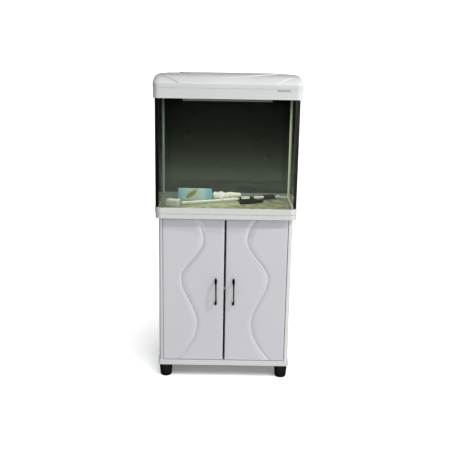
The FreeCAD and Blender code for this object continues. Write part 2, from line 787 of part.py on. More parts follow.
def handle_feet(side):
    """The two posts that carry a handle, cut to meet the bar."""
    x = side * HANDLE_X
    bar = handle_bow(side)
    feet = []
    for z in handle_screw_heights():
        post = rod(HANDLE_FOOT_RADIUS, (x, DOOR_FRONT, z), (x, DOOR_FRONT - HANDLE_POST, z))
        post = post.cut(bar).cut(handle_screw_shank(side, z))
        feet.append(max(post.Solids, key=lambda piece: piece.Volume))
    return feet


# ---------------------------------------------------------------- tank


LEDGE_REACH = 24.0
LEDGE_SKIN = 3.5
SKIRT_WALL = TRIM_WALL + 3.5
SKIRT_INNER = LEDGE_REACH - 2.5
NECK_INSET = 3.4
NECK_HEIGHT = 3.0
LOWER_INSET = 1.6
LOWER_TOP_ROUND = 1.6
TRIM_ROUND = 1.0
TRIM_TOP_ROUND = 0.8
RIB_HALF = 1.2
RIB_X = [step * 82.0 for step in range(-3, 4)]
RIB_Y = [0.5 * (TRIM_FRONT + TRIM_REAR) + step * 92.0 for step in range(-1, 2)]
RIB_OVERLAP = 0.5


def trim_block(inset, z0, z1):
    """The outline of the base frame, moved in by inset, between two heights."""
    half = TRIM_HALF_WIDTH - inset
    front_radius = max(TRIM_CORNER - inset, 3.0)
    rear_radius = max(TRIM_REAR_CORNER - inset, 0.5)
    return rounded_slab(-half, half, TRIM_FRONT + inset, TRIM_REAR - inset, z0, z1, front_radius, rear_radius)


def tank_base_frame():
    """The moulded frame under the glass: two bands, a groove between them and ribs below."""
    neck_bottom = TRIM_SPLIT - NECK_HEIGHT
    upper = soften(trim_block(0.0, TRIM_SPLIT, TRIM_TOP), TRIM_ROUND, at_height(TRIM_SPLIT))
    upper = soften(upper, TRIM_TOP_ROUND, at_height(TRIM_TOP))
    neck = trim_block(NECK_INSET, neck_bottom, TRIM_SPLIT)
    lower = trim_block(LOWER_INSET, CABINET_TOP, neck_bottom)
    lower = soften(lower, TRIM_ROUND, at_height(CABINET_TOP))
    lower = soften(lower, LOWER_TOP_ROUND, at_height(neck_bottom))
    solid = upper.fuse(neck).fuse(lower)
    ceiling = TRIM_LEDGE_TOP - LEDGE_SKIN
    solid = solid.cut(trim_block(TRIM_WALL, TRIM_LEDGE_TOP, TRIM_TOP + 1))
    solid = solid.cut(trim_block(LEDGE_REACH, CABINET_TOP - 1, TRIM_LEDGE_TOP + 1))
    hollow = trim_block(SKIRT_WALL, CABINET_TOP - 1, ceiling)
    solid = solid.cut(hollow.cut(trim_block(SKIRT_INNER, CABINET_TOP - 2, ceiling + 1)))
    band = trim_block(SKIRT_WALL - RIB_OVERLAP, CABINET_TOP, ceiling + RIB_OVERLAP)
    band = band.cut(trim_block(SKIRT_INNER + RIB_OVERLAP, CABINET_TOP - 1, ceiling + 1))
    ribs = []
    top = ceiling + RIB_OVERLAP
    for x in RIB_X:
        ribs.append(slab(x - RIB_HALF, x + RIB_HALF, TRIM_FRONT, TRIM_REAR, CABINET_TOP, top))
    for y in RIB_Y:
        ribs.append(slab(-TRIM_HALF_WIDTH, TRIM_HALF_WIDTH, y - RIB_HALF, y + RIB_HALF, CABINET_TOP, top))
    return solid.fuse([rib.common(band) for rib in ribs]).removeSplitter()


def glass_block(inset, z0, z1, rear_inset=0.0):
    """The tank's outline moved in by inset; its rear corners are square."""
    half = GLASS_HALF_WIDTH - inset
    return rounded_slab(-half, half, GLASS_FRONT + inset, GLASS_REAR - rear_inset, z0, z1,
                        GLASS_BEND - inset, 0.0)


FOAM_INSET = 0.3
FOAM_WIDTH = 20.0
PANE_GAP = 0.2
FLOOR_GAP = 0.5
FILM_GAP = 0.5
FILM_OVERLAP = 6.0
FILM_START = 6.0


def bearing_foam():
    """A soft strip on the ledge, under the floor and the walls."""
    outer = glass_block(FOAM_INSET, TRIM_LEDGE_TOP, GLASS_BOTTOM, FOAM_INSET)
    return outer.cut(glass_block(FOAM_WIDTH, TRIM_LEDGE_TOP - 1, GLASS_BOTTOM + 1, FOAM_WIDTH))


def bent_glass():
    """Front and both sides in one pane, bent round the two front corners."""
    outer = glass_block(0.0, GLASS_BOTTOM, GLASS_TOP)
    inner = glass_block(GLASS, GLASS_BOTTOM - 1, GLASS_TOP + 1, -1.0)
    return outer.cut(inner)


def back_glass():
    """The flat rear pane, between the two sides."""
    half = GLASS_HALF_WIDTH - GLASS - PANE_GAP
    return slab(-half, half, GLASS_REAR - GLASS, GLASS_REAR, GLASS_BOTTOM, GLASS_TOP)


def floor_glass():
    """The floor pane, inside the walls."""
    inset = GLASS + FLOOR_GAP
    return glass_block(inset, GLASS_BOTTOM, FLOOR_TOP, inset)


def backing_films():
    """Dark film outside the back pane, and outside each side pane and most of its bend."""
    low, high = TRIM_TOP + FILM_GAP, HOOD_BOTTOM + FILM_OVERLAP
    films = [slab(-GLASS_HALF_WIDTH, GLASS_HALF_WIDTH, GLASS_REAR, GLASS_REAR + FILM, low, high)]
    skin = glass_block(-FILM, low, high).cut(glass_block(0.0, low - 1, high + 1, -1.0))
    front = GLASS_FRONT + FILM_START
    for side in (LEFT, RIGHT):
        inner, outer = side * (GLASS_HALF_WIDTH - GLASS_BEND), side * (GLASS_HALF_WIDTH + GLASS_BEND)
        films.append(skin.common(slab(inner, outer, front, GLASS_REAR, low, high)).Solids[0])
    return films


SEAL_HOLLOW = 0.35
SEAL_BOTTOM = FLOOR_TOP + 5.0
SEAL_TOP = GLASS_TOP - 3.0
BEAD = 5.0
BEAD_CORNER = 4.0


def corner_seals():
    """Silicone fillets in the two rear corners, from the floor bead to the top."""
    seals = []
    x = GLASS_HALF_WIDTH - GLASS
    y = GLASS_REAR - GLASS
    for side in (LEFT, RIGHT):
        points = [Vector(side * x, y, 0), Vector(side * (x - SEAL), y, 0), Vector(side * x, y - SEAL, 0)]
        middle = Vector(side * (x - SEAL_HOLLOW * SEAL), y - SEAL_HOLLOW * SEAL, 0)
        edges = [
            Part.LineSegment(points[0], points[1]).toShape(),
            Part.Arc(points[1], middle, points[2]).toShape(),
            Part.LineSegment(points[2], points[0]).toShape(),
        ]
        seal = Part.Face(Part.Wire(edges)).extrude(Vector(0, 0, SEAL_TOP - SEAL_BOTTOM))
        seal.translate(Vector(0, 0, SEAL_BOTTOM))
        seals.append(seal)
    return seals


def floor_seal():
    """A silicone bead where the walls meet the floor."""
    outer = glass_block(GLASS, FLOOR_TOP, FLOOR_TOP + BEAD, GLASS)
    wires = []
    for inset, z in ((GLASS + BEAD, FLOOR_TOP), (GLASS, FLOOR_TOP + BEAD)):
        half = GLASS_HALF_WIDTH - inset
        wires.append(rounded_wire(-half, half, GLASS_FRONT + inset, GLASS_REAR - inset, z,
                                  GLASS_BEND - inset, BEAD_CORNER))
    return outer.cut(Part.makeLoft(wires, True, True))


# ---------------------------------------------------------------- hood


DECK_HOLES = (
    (-228.0, 228.0, -32.0, 60.0, 12.0),
    (-TRAY_HALF_LENGTH - 0.5, TRAY_HALF_LENGTH + 0.5, TRAY_FRONT - 0.5, TRAY_REAR + 0.5, 6.5),
)
LIP = 0.7
LIP_TOP = HOOD_BOTTOM + 4.0
LIP_ROUND = 0.6
TONGUE_INSET = HOOD_WALL + 0.4
TONGUE_WALL = 1.5
TONGUE_BOTTOM = HOOD_SPLIT - 8.0
TONGUE_TOP = HOOD_SPLIT + 3.5
PIN_BORE_TIGHT = 2.0
PIN_BORE_FREE = 2.06
PIN_HEAD_RADIUS = 3.2
PIN_HEAD = 1.6
END_KNUCKLE_HALF = 5.0
KNUCKLE_GAP = 0.4
END_KNUCKLE_X = 0.5 * KNUCKLE + KNUCKLE_GAP + END_KNUCKLE_HALF
HINGE_PIN_HALF = END_KNUCKLE_X + END_KNUCKLE_HALF + 1.1
WEB_LOWER = 5.0
WEB_UPPER = (1.0, 4.2)
WEB_INSET = 2.2


def hood_block(inset, z0, z1):
    """The outline of the hood, moved in by inset, between two heights."""
    half = HOOD_HALF_WIDTH - inset
    return rounded_slab(-half, half, HOOD_FRONT + inset, HOOD_REAR - inset, z0, z1,
                        HOOD_CORNER - inset, HOOD_REAR_CORNER - inset)


def frame_tongue():
    """A thin wall inside the ring that stands up behind the joint with the lid."""
    foot = hood_block(HOOD_WALL, TONGUE_BOTTOM, HOOD_SPLIT)
    tongue = foot.fuse(hood_block(TONGUE_INSET, HOOD_SPLIT, TONGUE_TOP))
    return tongue.cut(hood_block(TONGUE_INSET + TONGUE_WALL, TONGUE_BOTTOM - 1, TONGUE_TOP + 1))


def hood_frame():
    """The lower ring of the hood with its deck, which rests on the glass."""
    wall = hood_block(LIP, LIP_TOP, HOOD_SPLIT)
    lip = soften(hood_block(0.0, HOOD_BOTTOM, LIP_TOP), LIP_ROUND, at_height(LIP_TOP))
    solid = wall.fuse(lip)
    solid = solid.cut(hood_block(HOOD_WALL, HOOD_BOTTOM - 1, GLASS_TOP))
    solid = solid.cut(hood_block(HOOD_WALL, DECK_TOP, HOOD_SPLIT + 1)).fuse(frame_tongue())
    for x0, x1, y0, y1, radius in DECK_HOLES:
        solid = solid.cut(rounded_slab(x0, x1, y0, y1, GLASS_TOP - 1, DECK_TOP + 1, radius))
    for side in (LEFT, RIGHT):
        for offset in (-END_KNUCKLE_X, END_KNUCKLE_X):
            solid = solid.fuse(knuckle(side * HINGE_X + offset, END_KNUCKLE_HALF,
                                       HOOD_SPLIT - WEB_LOWER, HOOD_SPLIT))
    solid = cut_all(solid, [hinge_bore(side, PIN_BORE_TIGHT) for side in (LEFT, RIGHT)])
    return cut_all(solid.removeSplitter(), lamp_screw_shanks())


def knuckle(x, half, z0, z1):
    """One knuckle of the lid hinge and the web that joins it to a rear wall."""
    barrel = rod(KNUCKLE_RADIUS, (x - half, HINGE_Y, HINGE_Z), (x + half, HINGE_Y, HINGE_Z))
    web = slab(x - half, x + half, HOOD_REAR - WEB_INSET, HINGE_Y, z0, z1)
    return barrel.fuse(web)


def hinge_bore(side, radius):
    """A bar on the lid's hinge line, as long as a hinge pin."""
    x = side * HINGE_X
    return rod(radius, (x - HINGE_PIN_HALF, HINGE_Y, HINGE_Z), (x + HINGE_PIN_HALF, HINGE_Y, HINGE_Z))


# Sections of the lid's dome: how far in from the sides, from the front and rear, and height.
DOME = (
    (0.0, 0.0, HOOD_BREAK),
    (0.2, 4.2, 1279.4),
    (0.6, 9.0, 1283.5),
    (1.2, 15.0, 1287.9),
    (2.0, 22.0, 1292.0),
    (3.1, 30.5, 1296.5),
    (4.5, 40.0, 1300.5),
    (6.2, 52.0, 1303.9),
    (8.4, 66.0, 1306.5),
    (11.4, 82.0, 1308.7),
    (15.5, 100.0, 1310.3),
    (24.0, 118.0, 1311.4),
    (55.0, 135.0, 1312.0),
)
DOME_ROUNDING = 0.2
DOME_BLEND = 40.0
LID_SKIN = 1.8
PANEL_FRONT_HALF = 196.0
PANEL_TOP_HALF = 257.0
PANEL_SLOPE = 42.0
GRIP_X = 205.0
GRIP_Y = 135.0
RAISED_LOW = HOOD_BREAK + 1.0
RAISED_HIGH = 1330.0


def dome(inset, lift):
    """The curved top of the lid in narrow bands, moved in by inset and, away from its rim, up."""
    wires = []
    for side, front, z in DOME:
        half = HOOD_HALF_WIDTH - side - inset
        growth = DOME_ROUNDING * front - inset
        top = z + lift * min(1.0, front / DOME_BLEND)
        wires.append(rounded_wire(-half, half, HOOD_FRONT + front + inset, HOOD_REAR - front - inset,
                                  top, HOOD_CORNER + growth, HOOD_REAR_CORNER + growth))
    return Part.makeLoft(wires, True, True)


def centre_panel():
    """The raised middle of the lid, narrower at the front and the rear edge."""
    outline = [
        Vector(PANEL_FRONT_HALF, HOOD_FRONT, RAISED_LOW),
        Vector(PANEL_TOP_HALF, HOOD_FRONT + PANEL_SLOPE, RAISED_LOW),
        Vector(PANEL_TOP_HALF, HOOD_REAR - PANEL_SLOPE, RAISED_LOW),
        Vector(PANEL_FRONT_HALF, HOOD_REAR, RAISED_LOW),
    ]
    outline += [Vector(-point.x, point.y, RAISED_LOW) for point in reversed(outline)]
    outline.append(outline[0])
    prism = Part.Face(Part.makePolygon(outline)).extrude(Vector(0, 0, RAISED_HIGH - RAISED_LOW))
    return dome(0.0, PANEL_RISE).common(prism)


def grip_plateau():
    """The lens-shaped raised area in the middle of the lid, for lifting it."""
    middle = 0.5 * (HOOD_FRONT + HOOD_REAR)
    ellipse = Part.Ellipse(Vector(0, middle, RAISED_LOW), GRIP_X, GRIP_Y)
    prism = Part.Face(Part.Wire([ellipse.toShape()])).extrude(Vector(0, 0, RAISED_HIGH - RAISED_LOW))
    return dome(0.0, PANEL_RISE + GRIP_RISE).common(prism)


def hood_lid():
    """The lid as a thin shell: a straight band, then the dome with its raised areas."""
    start = HOOD_SPLIT + HOOD_GAP
    shell = hood_block(0.0, start, HOOD_BREAK).fuse(dome(0.0, 0.0))
    shell = shell.fuse(centre_panel()).fuse(grip_plateau())
    shell = shell.cut(hood_block(HOOD_WALL, start - 1, HOOD_BREAK))
    shell = shell.cut(dome(HOOD_WALL, -LID_SKIN))
    low, high = WEB_UPPER
    for side in (LEFT, RIGHT):
        shell = shell.fuse(knuckle(side * HINGE_X, 0.5 * KNUCKLE, HINGE_Z + low, HINGE_Z + high))
    return cut_all(shell, [hinge_bore(side, PIN_BORE_FREE) for side in (LEFT, RIGHT)])


def lid_hinge_pins():
    """One headed pin through the three knuckles on each side."""
    pins = []
    for side in (LEFT, RIGHT):
        x = side * (HINGE_X + HINGE_PIN_HALF)
        head = rod(PIN_HEAD_RADIUS, (x, HINGE_Y, HINGE_Z), (x + side * PIN_HEAD, HINGE_Y, HINGE_Z))
        pins.append(hinge_bore(side, PIN_BORE_TIGHT).fuse(head).removeSplitter())
    return pins


BADGE_X = (199.0, 253.0)
BADGE_Z = (1249.5, 1256.5)
BADGE_THICKNESS = 1.0
BADGE_ROUND = 0.4


def badge():
    """A blank plate on the front of the hood."""
    rear = HOOD_FRONT + LIP
    front = rear - BADGE_THICKNESS
    return soften(slab(*BADGE_X, front, rear, *BADGE_Z), BADGE_ROUND, at_depth(front))


# ---------------------------------------------------------------- lamp and filter tray


LAMP_WALL = 1.5
LAMP_ROOF = 2.0
LAMP_CORNER = 8.0
LAMP_BOSS = 4.0
LAMP_BOSS_X = LAMP_HALF_LENGTH - 12.0
LAMP_MIDDLE = 0.5 * (LAMP_FRONT + LAMP_REAR)
LAMP_SCREW_RADIUS = 1.6
LAMP_SCREW_BOTTOM = GLASS_TOP - 9.0
LAMP_HEAD_RADIUS = 3.2
LAMP_HEAD_HEIGHT = 2.0
BOARD_BOTTOM = 1212.0
BOARD_THICKNESS = 1.6
BOARD_END_GAP = 5.0
BOARD_EDGE_GAP = 8.0
LED_PITCH = 15.0
LED_COUNT_HALF = 11
LED_HALF = 2.5
LED_HEIGHT = 1.2
LED_ROW = 20.0
DIFFUSER_BOTTOM = LAMP_BOTTOM + 0.4
DIFFUSER_THICKNESS = 2.0


def lamp_screw_shanks():
    """The shanks of the screws that hold the lamp, down through the deck."""
    shanks = []
    for x in (-LAMP_BOSS_X, LAMP_BOSS_X):
        shanks.append(rod(LAMP_SCREW_RADIUS, (x, LAMP_MIDDLE, LAMP_SCREW_BOTTOM), (x, LAMP_MIDDLE, DECK_TOP)))
    return shanks


def lamp_screws():
    """The same screws with slotted pan heads on the deck."""
    screws = []
    high = DECK_TOP + LAMP_HEAD_HEIGHT
    half, wide = LAMP_HEAD_RADIUS, 0.5 * CROSS_WIDTH
    for shank in lamp_screw_shanks():
        x, y = shank.CenterOfMass.x, shank.CenterOfMass.y
        head = rod(half, (x, y, DECK_TOP), (x, y, high))
        head = head.cut(slab(x - half, x + half, y - wide, y + wide, high - CROSS_DEPTH, high))
        screws.append(head.fuse(shank).removeSplitter())
    return screws


def lamp_inside(z0, z1):
    """The room inside the lamp's walls, between two heights."""
    half = LAMP_HALF_LENGTH - LAMP_WALL
    return rounded_slab(-half, half, LAMP_FRONT + LAMP_WALL, LAMP_REAR - LAMP_WALL, z0, z1,
                        LAMP_CORNER - LAMP_WALL)


def lamp_housing():
    """A long hood lamp body, open below, screwed up under the deck."""
    solid = rounded_slab(-LAMP_HALF_LENGTH, LAMP_HALF_LENGTH, LAMP_FRONT, LAMP_REAR,
                         LAMP_BOTTOM, GLASS_TOP, LAMP_CORNER)
    solid = solid.cut(lamp_inside(LAMP_BOTTOM - 1, GLASS_TOP - LAMP_ROOF))
    for x in (-LAMP_BOSS_X, LAMP_BOSS_X):
        low, high = BOARD_BOTTOM + BOARD_THICKNESS, GLASS_TOP - 0.5 * LAMP_ROOF
        solid = solid.fuse(rod(LAMP_BOSS, (x, LAMP_MIDDLE, low), (x, LAMP_MIDDLE, high)))
    return cut_all(solid.removeSplitter(), lamp_screw_shanks())


def lamp_board():
    """The circuit board with its two rows of light-emitting diodes, as one soldered piece."""
    half = LAMP_HALF_LENGTH - BOARD_END_GAP
    solid = slab(-half, half, LAMP_FRONT + BOARD_EDGE_GAP, LAMP_REAR - BOARD_EDGE_GAP,
                 BOARD_BOTTOM, BOARD_BOTTOM + BOARD_THICKNESS)
    diodes = []
    for y in (LAMP_FRONT + LED_ROW, LAMP_REAR - LED_ROW):
        for step in range(-LED_COUNT_HALF, LED_COUNT_HALF + 1):
            x = step * LED_PITCH
            diodes.append(slab(x - LED_HALF, x + LED_HALF, y - LED_HALF, y + LED_HALF,
                               BOARD_BOTTOM - LED_HEIGHT, BOARD_BOTTOM))
    return solid.fuse(diodes)


def lamp_diffuser():
    """The milky cover that closes the lamp from below."""
    return lamp_inside(DIFFUSER_BOTTOM, DIFFUSER_BOTTOM + DIFFUSER_THICKNESS)


TRAY_WALL = 2.0
TRAY_CORNER = 6.0
TRAY_RIM = 5.0
TRAY_RIM_CORNER = 9.0
TRAY_INNER_CORNER = 4.0
TRAY_TOP = DECK_TOP + 1.5
TRAY_SLOT_HALF = 2.0
TRAY_SLOT_PITCH = 21.0
TRAY_SLOT_COUNT_HALF = 9
TRAY_SLOT_MARGIN = 14.0
TRAY_SPONGE_TOP = TRAY_BOTTOM + 17.0
TRAY_SPONGE_INSET = 5.0


def tray_block(inset, z0, z1, radius):
    """The outline of the tray, moved in by inset, between two heights."""
    half = TRAY_HALF_LENGTH - inset
    return rounded_slab(-half, half, TRAY_FRONT + inset, TRAY_REAR - inset, z0, z1, radius)


def filter_tray():
    """A slotted tray that hangs by its rim in the rear opening of the deck."""
    solid = tray_block(0.0, TRAY_BOTTOM, TRAY_TOP, TRAY_CORNER)
    solid = solid.fuse(tray_block(-TRAY_RIM, DECK_TOP, TRAY_TOP, TRAY_RIM_CORNER)).removeSplitter()
    solid = solid.cut(tray_block(TRAY_WALL, TRAY_BOTTOM + TRAY_WALL, TRAY_TOP + 1, TRAY_INNER_CORNER))
    slots = []
    for step in range(-TRAY_SLOT_COUNT_HALF, TRAY_SLOT_COUNT_HALF + 1):
        x = step * TRAY_SLOT_PITCH
        slots.append(slab(x - TRAY_SLOT_HALF, x + TRAY_SLOT_HALF, TRAY_FRONT + TRAY_SLOT_MARGIN,
                          TRAY_REAR - TRAY_SLOT_MARGIN, TRAY_BOTTOM - 1, TRAY_BOTTOM + TRAY_WALL + 1))
    return cut_all(solid, slots)


def tray_sponge():
    """A flat sponge that lies in the tray."""
    return tray_block(TRAY_SPONGE_INSET, TRAY_BOTTOM + TRAY_WALL, TRAY_SPONGE_TOP, TRAY_INNER_CORNER)


# ---------------------------------------------------------------- filter parts that lie in the tank


BAR_START = (-188.0, -40.0)
BAR_END = (243.0, 138.0)
BAR_RADIUS = 5.5
BAR_LIFT = 4.0
BAR_BORE = 4.0
BAR_Z = BAR_LIFT + BAR_RADIUS
BAR_SLEEVE = BAR_RADIUS + 1.2
BAR_CAP = (-4.0, 14.0)
BAR_JOINT = 0.42
BAR_JOINT_LENGTH = 16.0
BAR_BORE_START = 8.0
BAR_HOLE_RADIUS = 1.2
BAR_HOLE_PITCH = 22
BAR_HOLE_MARGIN = 40
LIE = 0.3


def bar_frame(shape):
    """Turn a piece made along +X at the origin so that it lies along the spray bar."""
    angle = math.degrees(math.atan2(BAR_END[1] - BAR_START[1], BAR_END[0] - BAR_START[0]))
    shape.rotate(Vector(0, 0, 0), Vector(0, 0, 1), angle)
    shape.translate(Vector(BAR_START[0], BAR_START[1], FLOOR_TOP))
    return shape


def bar_length():
    """The length of the spray bar's tube."""
    return math.hypot(BAR_END[0] - BAR_START[0], BAR_END[1] - BAR_START[1])


def bar_hoop(radius, x0, x1):
    """A piece around the bar's own line, made along +X."""
    return rod(radius, (x0, 0, BAR_Z), (x1, 0, BAR_Z))


def spray_bar():
    """A straight white tube with a row of outlet holes, a cap at its left end and a sleeve."""
    length = bar_length()
    cap_start, cap_end = BAR_CAP
    joint_start = BAR_JOINT * length
    joint_end = joint_start + BAR_JOINT_LENGTH
    solid = bar_hoop(BAR_RADIUS, 0, length)
    solid = solid.fuse(bar_hoop(BAR_SLEEVE, cap_start, cap_end))
    solid = solid.fuse(bar_hoop(BAR_SLEEVE, joint_start, joint_end)).removeSplitter()
    solid = solid.cut(bar_hoop(BAR_BORE, BAR_BORE_START, length + 1))
    places = range(BAR_HOLE_MARGIN, int(length) - BAR_HOLE_MARGIN, BAR_HOLE_PITCH)
    holes = [rod(BAR_HOLE_RADIUS, (x, 0, BAR_Z), (x, -BAR_SLEEVE - 1, BAR_Z)) for x in places]
    return bar_frame(cut_all(solid, holes))


CLIPS = ((0.58, 5.0), (0.70, 10.0), (0.89, 28.0))
CLIP_RADIUS = BAR_RADIUS + 3.4
CLIP_STEM_HALF = 4.0
CLIP_FOOT_MARGIN = 4.0
CLIP_FOOT_Y = 12.0
CLIP_FOOT_TOP = 2.4


def bar_clip(fraction, half):
    """A black clip or, where half is large, a holder: a ring round the bar on a foot."""
    x = fraction * bar_length()
    reach = half + CLIP_FOOT_MARGIN
    ring = bar_hoop(CLIP_RADIUS, x - half, x + half)
    foot = slab(x - reach, x + reach, -CLIP_FOOT_Y, CLIP_FOOT_Y, LIE, CLIP_FOOT_TOP)
    stem = slab(x - CLIP_STEM_HALF, x + CLIP_STEM_HALF, -CLIP_STEM_HALF, CLIP_STEM_HALF, LIE, BAR_Z)
    solid = ring.fuse(foot).fuse(stem)
    return bar_frame(solid.cut(bar_hoop(BAR_RADIUS, x - reach, x + reach)))


def turned(shape, degrees, x, y):
    """Turn a piece made at the origin and lay it on the floor pane."""
    shape.rotate(Vector(0, 0, 0), Vector(0, 0, 1), degrees)
    shape.translate(Vector(x, y, FLOOR_TOP))
    return shape


OUTLET_BODY = (-52.0, 24.0, -12.0, 12.0)
OUTLET_TOP = 20.0
OUTLET_ROUND = 3.0
SPOUT_Z = 9.0
SPOUT_RADIUS = 7.5
SPOUT_BORE = 5.5
SPOUT_BORE_START = 26.0
SPOUT_END = 54.0
OUTLET_PLACE = (18.0, 112.0, 12.0)


def bar_outlet():
    """The black outlet with its round spout, which lies in front of the bar."""
    block = soften(slab(*OUTLET_BODY, LIE, OUTLET_TOP), OUTLET_ROUND, above(1.0))
    start = OUTLET_BODY[1] - OUTLET_ROUND
    spout = rod(SPOUT_RADIUS, (start, 0, SPOUT_Z), (SPOUT_END, 0, SPOUT_Z))
    bore = rod(SPOUT_BORE, (SPOUT_BORE_START, 0, SPOUT_Z), (SPOUT_END + 1, 0, SPOUT_Z))
    return turned(block.fuse(spout).cut(bore), *OUTLET_PLACE)


SPONGE_HALF_X = 26.0
SPONGE_HALF_Y = 19.0
SPONGE_TOP = 30.0
SPONGE_ROUND = 4.0
SPONGE_PLACE = (-16.0, -228.0, -66.0)


def sponge_block():
    """A spare block of filter sponge near the left end of the floor."""
    block = slab(-SPONGE_HALF_X, SPONGE_HALF_X, -SPONGE_HALF_Y, SPONGE_HALF_Y, LIE, SPONGE_TOP)
    return turned(soften(block, SPONGE_ROUND, above(1.0)), *SPONGE_PLACE)


WOOL_HALF_X = 64.0
WOOL_HALF_Y = 16.5
WOOL_TOP = 26.0
WOOL_CORNER = 15.0
WOOL_ROUND = 12.0
WOOL_PLACE = (4.0, 4.0, 122.0)


def filter_wool():
    """A loose heap of filter wool by the back pane, as a low rounded body."""
    heap = rounded_slab(-WOOL_HALF_X, WOOL_HALF_X, -WOOL_HALF_Y, WOOL_HALF_Y, LIE, WOOL_TOP, WOOL_CORNER)
    return turned(soften(heap, WOOL_ROUND, at_height(WOOL_TOP)), *WOOL_PLACE)


CARTON_HALF_X = 76.0
CARTON_HALF_Y = 11.0
CARTON_TOP = 50.0
CARTON_ROUND = 0.8
CARTON_PLACE = (-3.0, -139.5, 82.0)


def media_pack():
    """A small flat carton of filter media, standing on its long edge."""
    carton = slab(-CARTON_HALF_X, CARTON_HALF_X, -CARTON_HALF_Y, CARTON_HALF_Y, LIE, CARTON_TOP)
    return turned(soften(carton, CARTON_ROUND, above(1.0)), *CARTON_PLACE)


def main():
    os.makedirs("parts", exist_ok=True)

    save("base_board", base_board())
    for name, x, y in FEET:
        save(name, foot(x, y))
    save("foot_bolts", *[foot_bolt(x, y) for _, x, y in FEET])
    save("base_screws", *[base_screw(x, y) for x, y in BASE_SCREWS])
    for side, word in SIDES:
        save("side_panel_" + word, side_panel(side))
    save("top_panel", top_panel())
    save("back_panel", back_panel())
    save("back_panel_screws", *[back_screw(x, z) for x, z in back_screw_places()])
    save("shelf", shelf())
    places = [(side, y) for side in (LEFT, RIGHT) for y in SHELF_PIN_Y]
    save("shelf_pins", *[shelf_pin(side, y) for side, y in places])
    places = [(side, y) for side in (LEFT, RIGHT) for y in CAM_Y]
    save("cam_locks", *[cam_lock(side, y) for side, y in places])
    save("cam_studs", *[cam_stud(side, y) for side, y in places])

    for word, surface in (("top", CABINET_TOP), ("bottom", BASE_TOP)):
        save("pivot_plates_" + word, *[pivot_plate(side, surface) for side in (LEFT, RIGHT)])
    save("pivot_pins", *pivot_pins())
    save("pivot_screws", *pivot_screws())

    for side, word in SIDES:
        save("door_" + word, door(side))
        save("door_bushes_" + word, bush(side, DOOR_BOTTOM, 1), bush(side, DOOR_TOP, -1))
        save("handle_bow_" + word, handle_bow(side))
        save("handle_feet_" + word, *handle_feet(side))
        save("handle_screws_" + word, *[handle_screw(side, z) for z in handle_screw_heights()])
        save("strike_plate_" + word, strike_plate(side))
        save("catch_housing_" + word, catch_housing(side))
    save("catch_magnets", catch_magnet(LEFT), catch_magnet(RIGHT))
    save("catch_screws", *catch_screws())

    save("tank_base_frame", tank_base_frame())
    save("bearing_foam", bearing_foam())
    save("floor_glass", floor_glass())
    save("bent_glass", bent_glass())
    save("back_glass", back_glass())
    save("backing_films", *backing_films())
    save("corner_seals", *corner_seals())
    save("floor_seal", floor_seal())

    save("hood_frame", hood_frame())
    save("hood_lid", hood_lid())
    save("lid_hinge_pins", *lid_hinge_pins())
    save("badge", badge())
    save("lamp_housing", lamp_housing())
    save("lamp_board", lamp_board())
    save("lamp_diffuser", lamp_diffuser())
    save("lamp_screws", *lamp_screws())
    save("filter_tray", filter_tray())
    save("tray_sponge", tray_sponge())

    save("spray_bar", spray_bar())
    save("bar_clips", *[bar_clip(fraction, half) for fraction, half in CLIPS])
    save("bar_outlet", bar_outlet())
    save("sponge_block", sponge_block())
    save("filter_wool", filter_wool())
    save("media_pack", media_pack())


main()
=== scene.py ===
import json
import math

import bmesh
import bpy
from mathutils import Matrix, Vector, noise


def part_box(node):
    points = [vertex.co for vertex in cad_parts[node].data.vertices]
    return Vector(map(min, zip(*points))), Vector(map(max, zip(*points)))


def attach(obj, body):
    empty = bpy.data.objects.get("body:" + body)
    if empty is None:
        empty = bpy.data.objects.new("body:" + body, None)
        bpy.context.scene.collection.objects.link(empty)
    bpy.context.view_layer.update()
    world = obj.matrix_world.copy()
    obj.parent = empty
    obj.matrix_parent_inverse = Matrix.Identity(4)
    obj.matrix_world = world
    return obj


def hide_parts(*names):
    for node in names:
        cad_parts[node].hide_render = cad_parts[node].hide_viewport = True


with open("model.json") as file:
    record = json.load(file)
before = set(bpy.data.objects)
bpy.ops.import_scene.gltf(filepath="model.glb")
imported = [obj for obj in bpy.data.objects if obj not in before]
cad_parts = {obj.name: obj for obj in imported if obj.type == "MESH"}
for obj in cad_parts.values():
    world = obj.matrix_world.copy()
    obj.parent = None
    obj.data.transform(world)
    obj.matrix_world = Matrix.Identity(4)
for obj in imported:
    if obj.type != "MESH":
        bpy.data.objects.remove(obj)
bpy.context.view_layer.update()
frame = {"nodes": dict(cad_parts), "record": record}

NODES = frame["nodes"]
SLOTS = {part["node"]: part["material_slot"] for part in frame["record"]["subparts"]}
MM = 0.001
WHITE = (1.0, 1.0, 1.0)
BLACK = (0.0, 0.0, 0.0)

# ---------------------------------------------------------------- camera

CAMERA_DISTANCE = 2.821
CAMERA_SIDE = -0.0024
CAMERA_HEIGHT = 1.387
CAMERA_PITCH = math.radians(13.7)
CAMERA_ROLL = math.radians(0.93)
CAMERA_LENS = 55.65
SENSOR_WIDTH = 36.0


def make_camera():
    """Stands in front of the tank's base frame, looking a little down."""
    trim_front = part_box("tank_base_frame")[0].y
    data = bpy.data.cameras.new("camera")
    data.sensor_width = SENSOR_WIDTH
    data.lens = CAMERA_LENS
    camera = bpy.data.objects.new("camera", data)
    bpy.context.scene.collection.objects.link(camera)
    place = Matrix.Translation((CAMERA_SIDE, trim_front - CAMERA_DISTANCE, CAMERA_HEIGHT))
    tilt = Matrix.Rotation(math.radians(90) - CAMERA_PITCH, 4, "X")
    camera.matrix_world = place @ tilt @ Matrix.Rotation(CAMERA_ROLL, 4, "Z")
    bpy.context.scene.camera = camera


# ---------------------------------------------------------------- studio

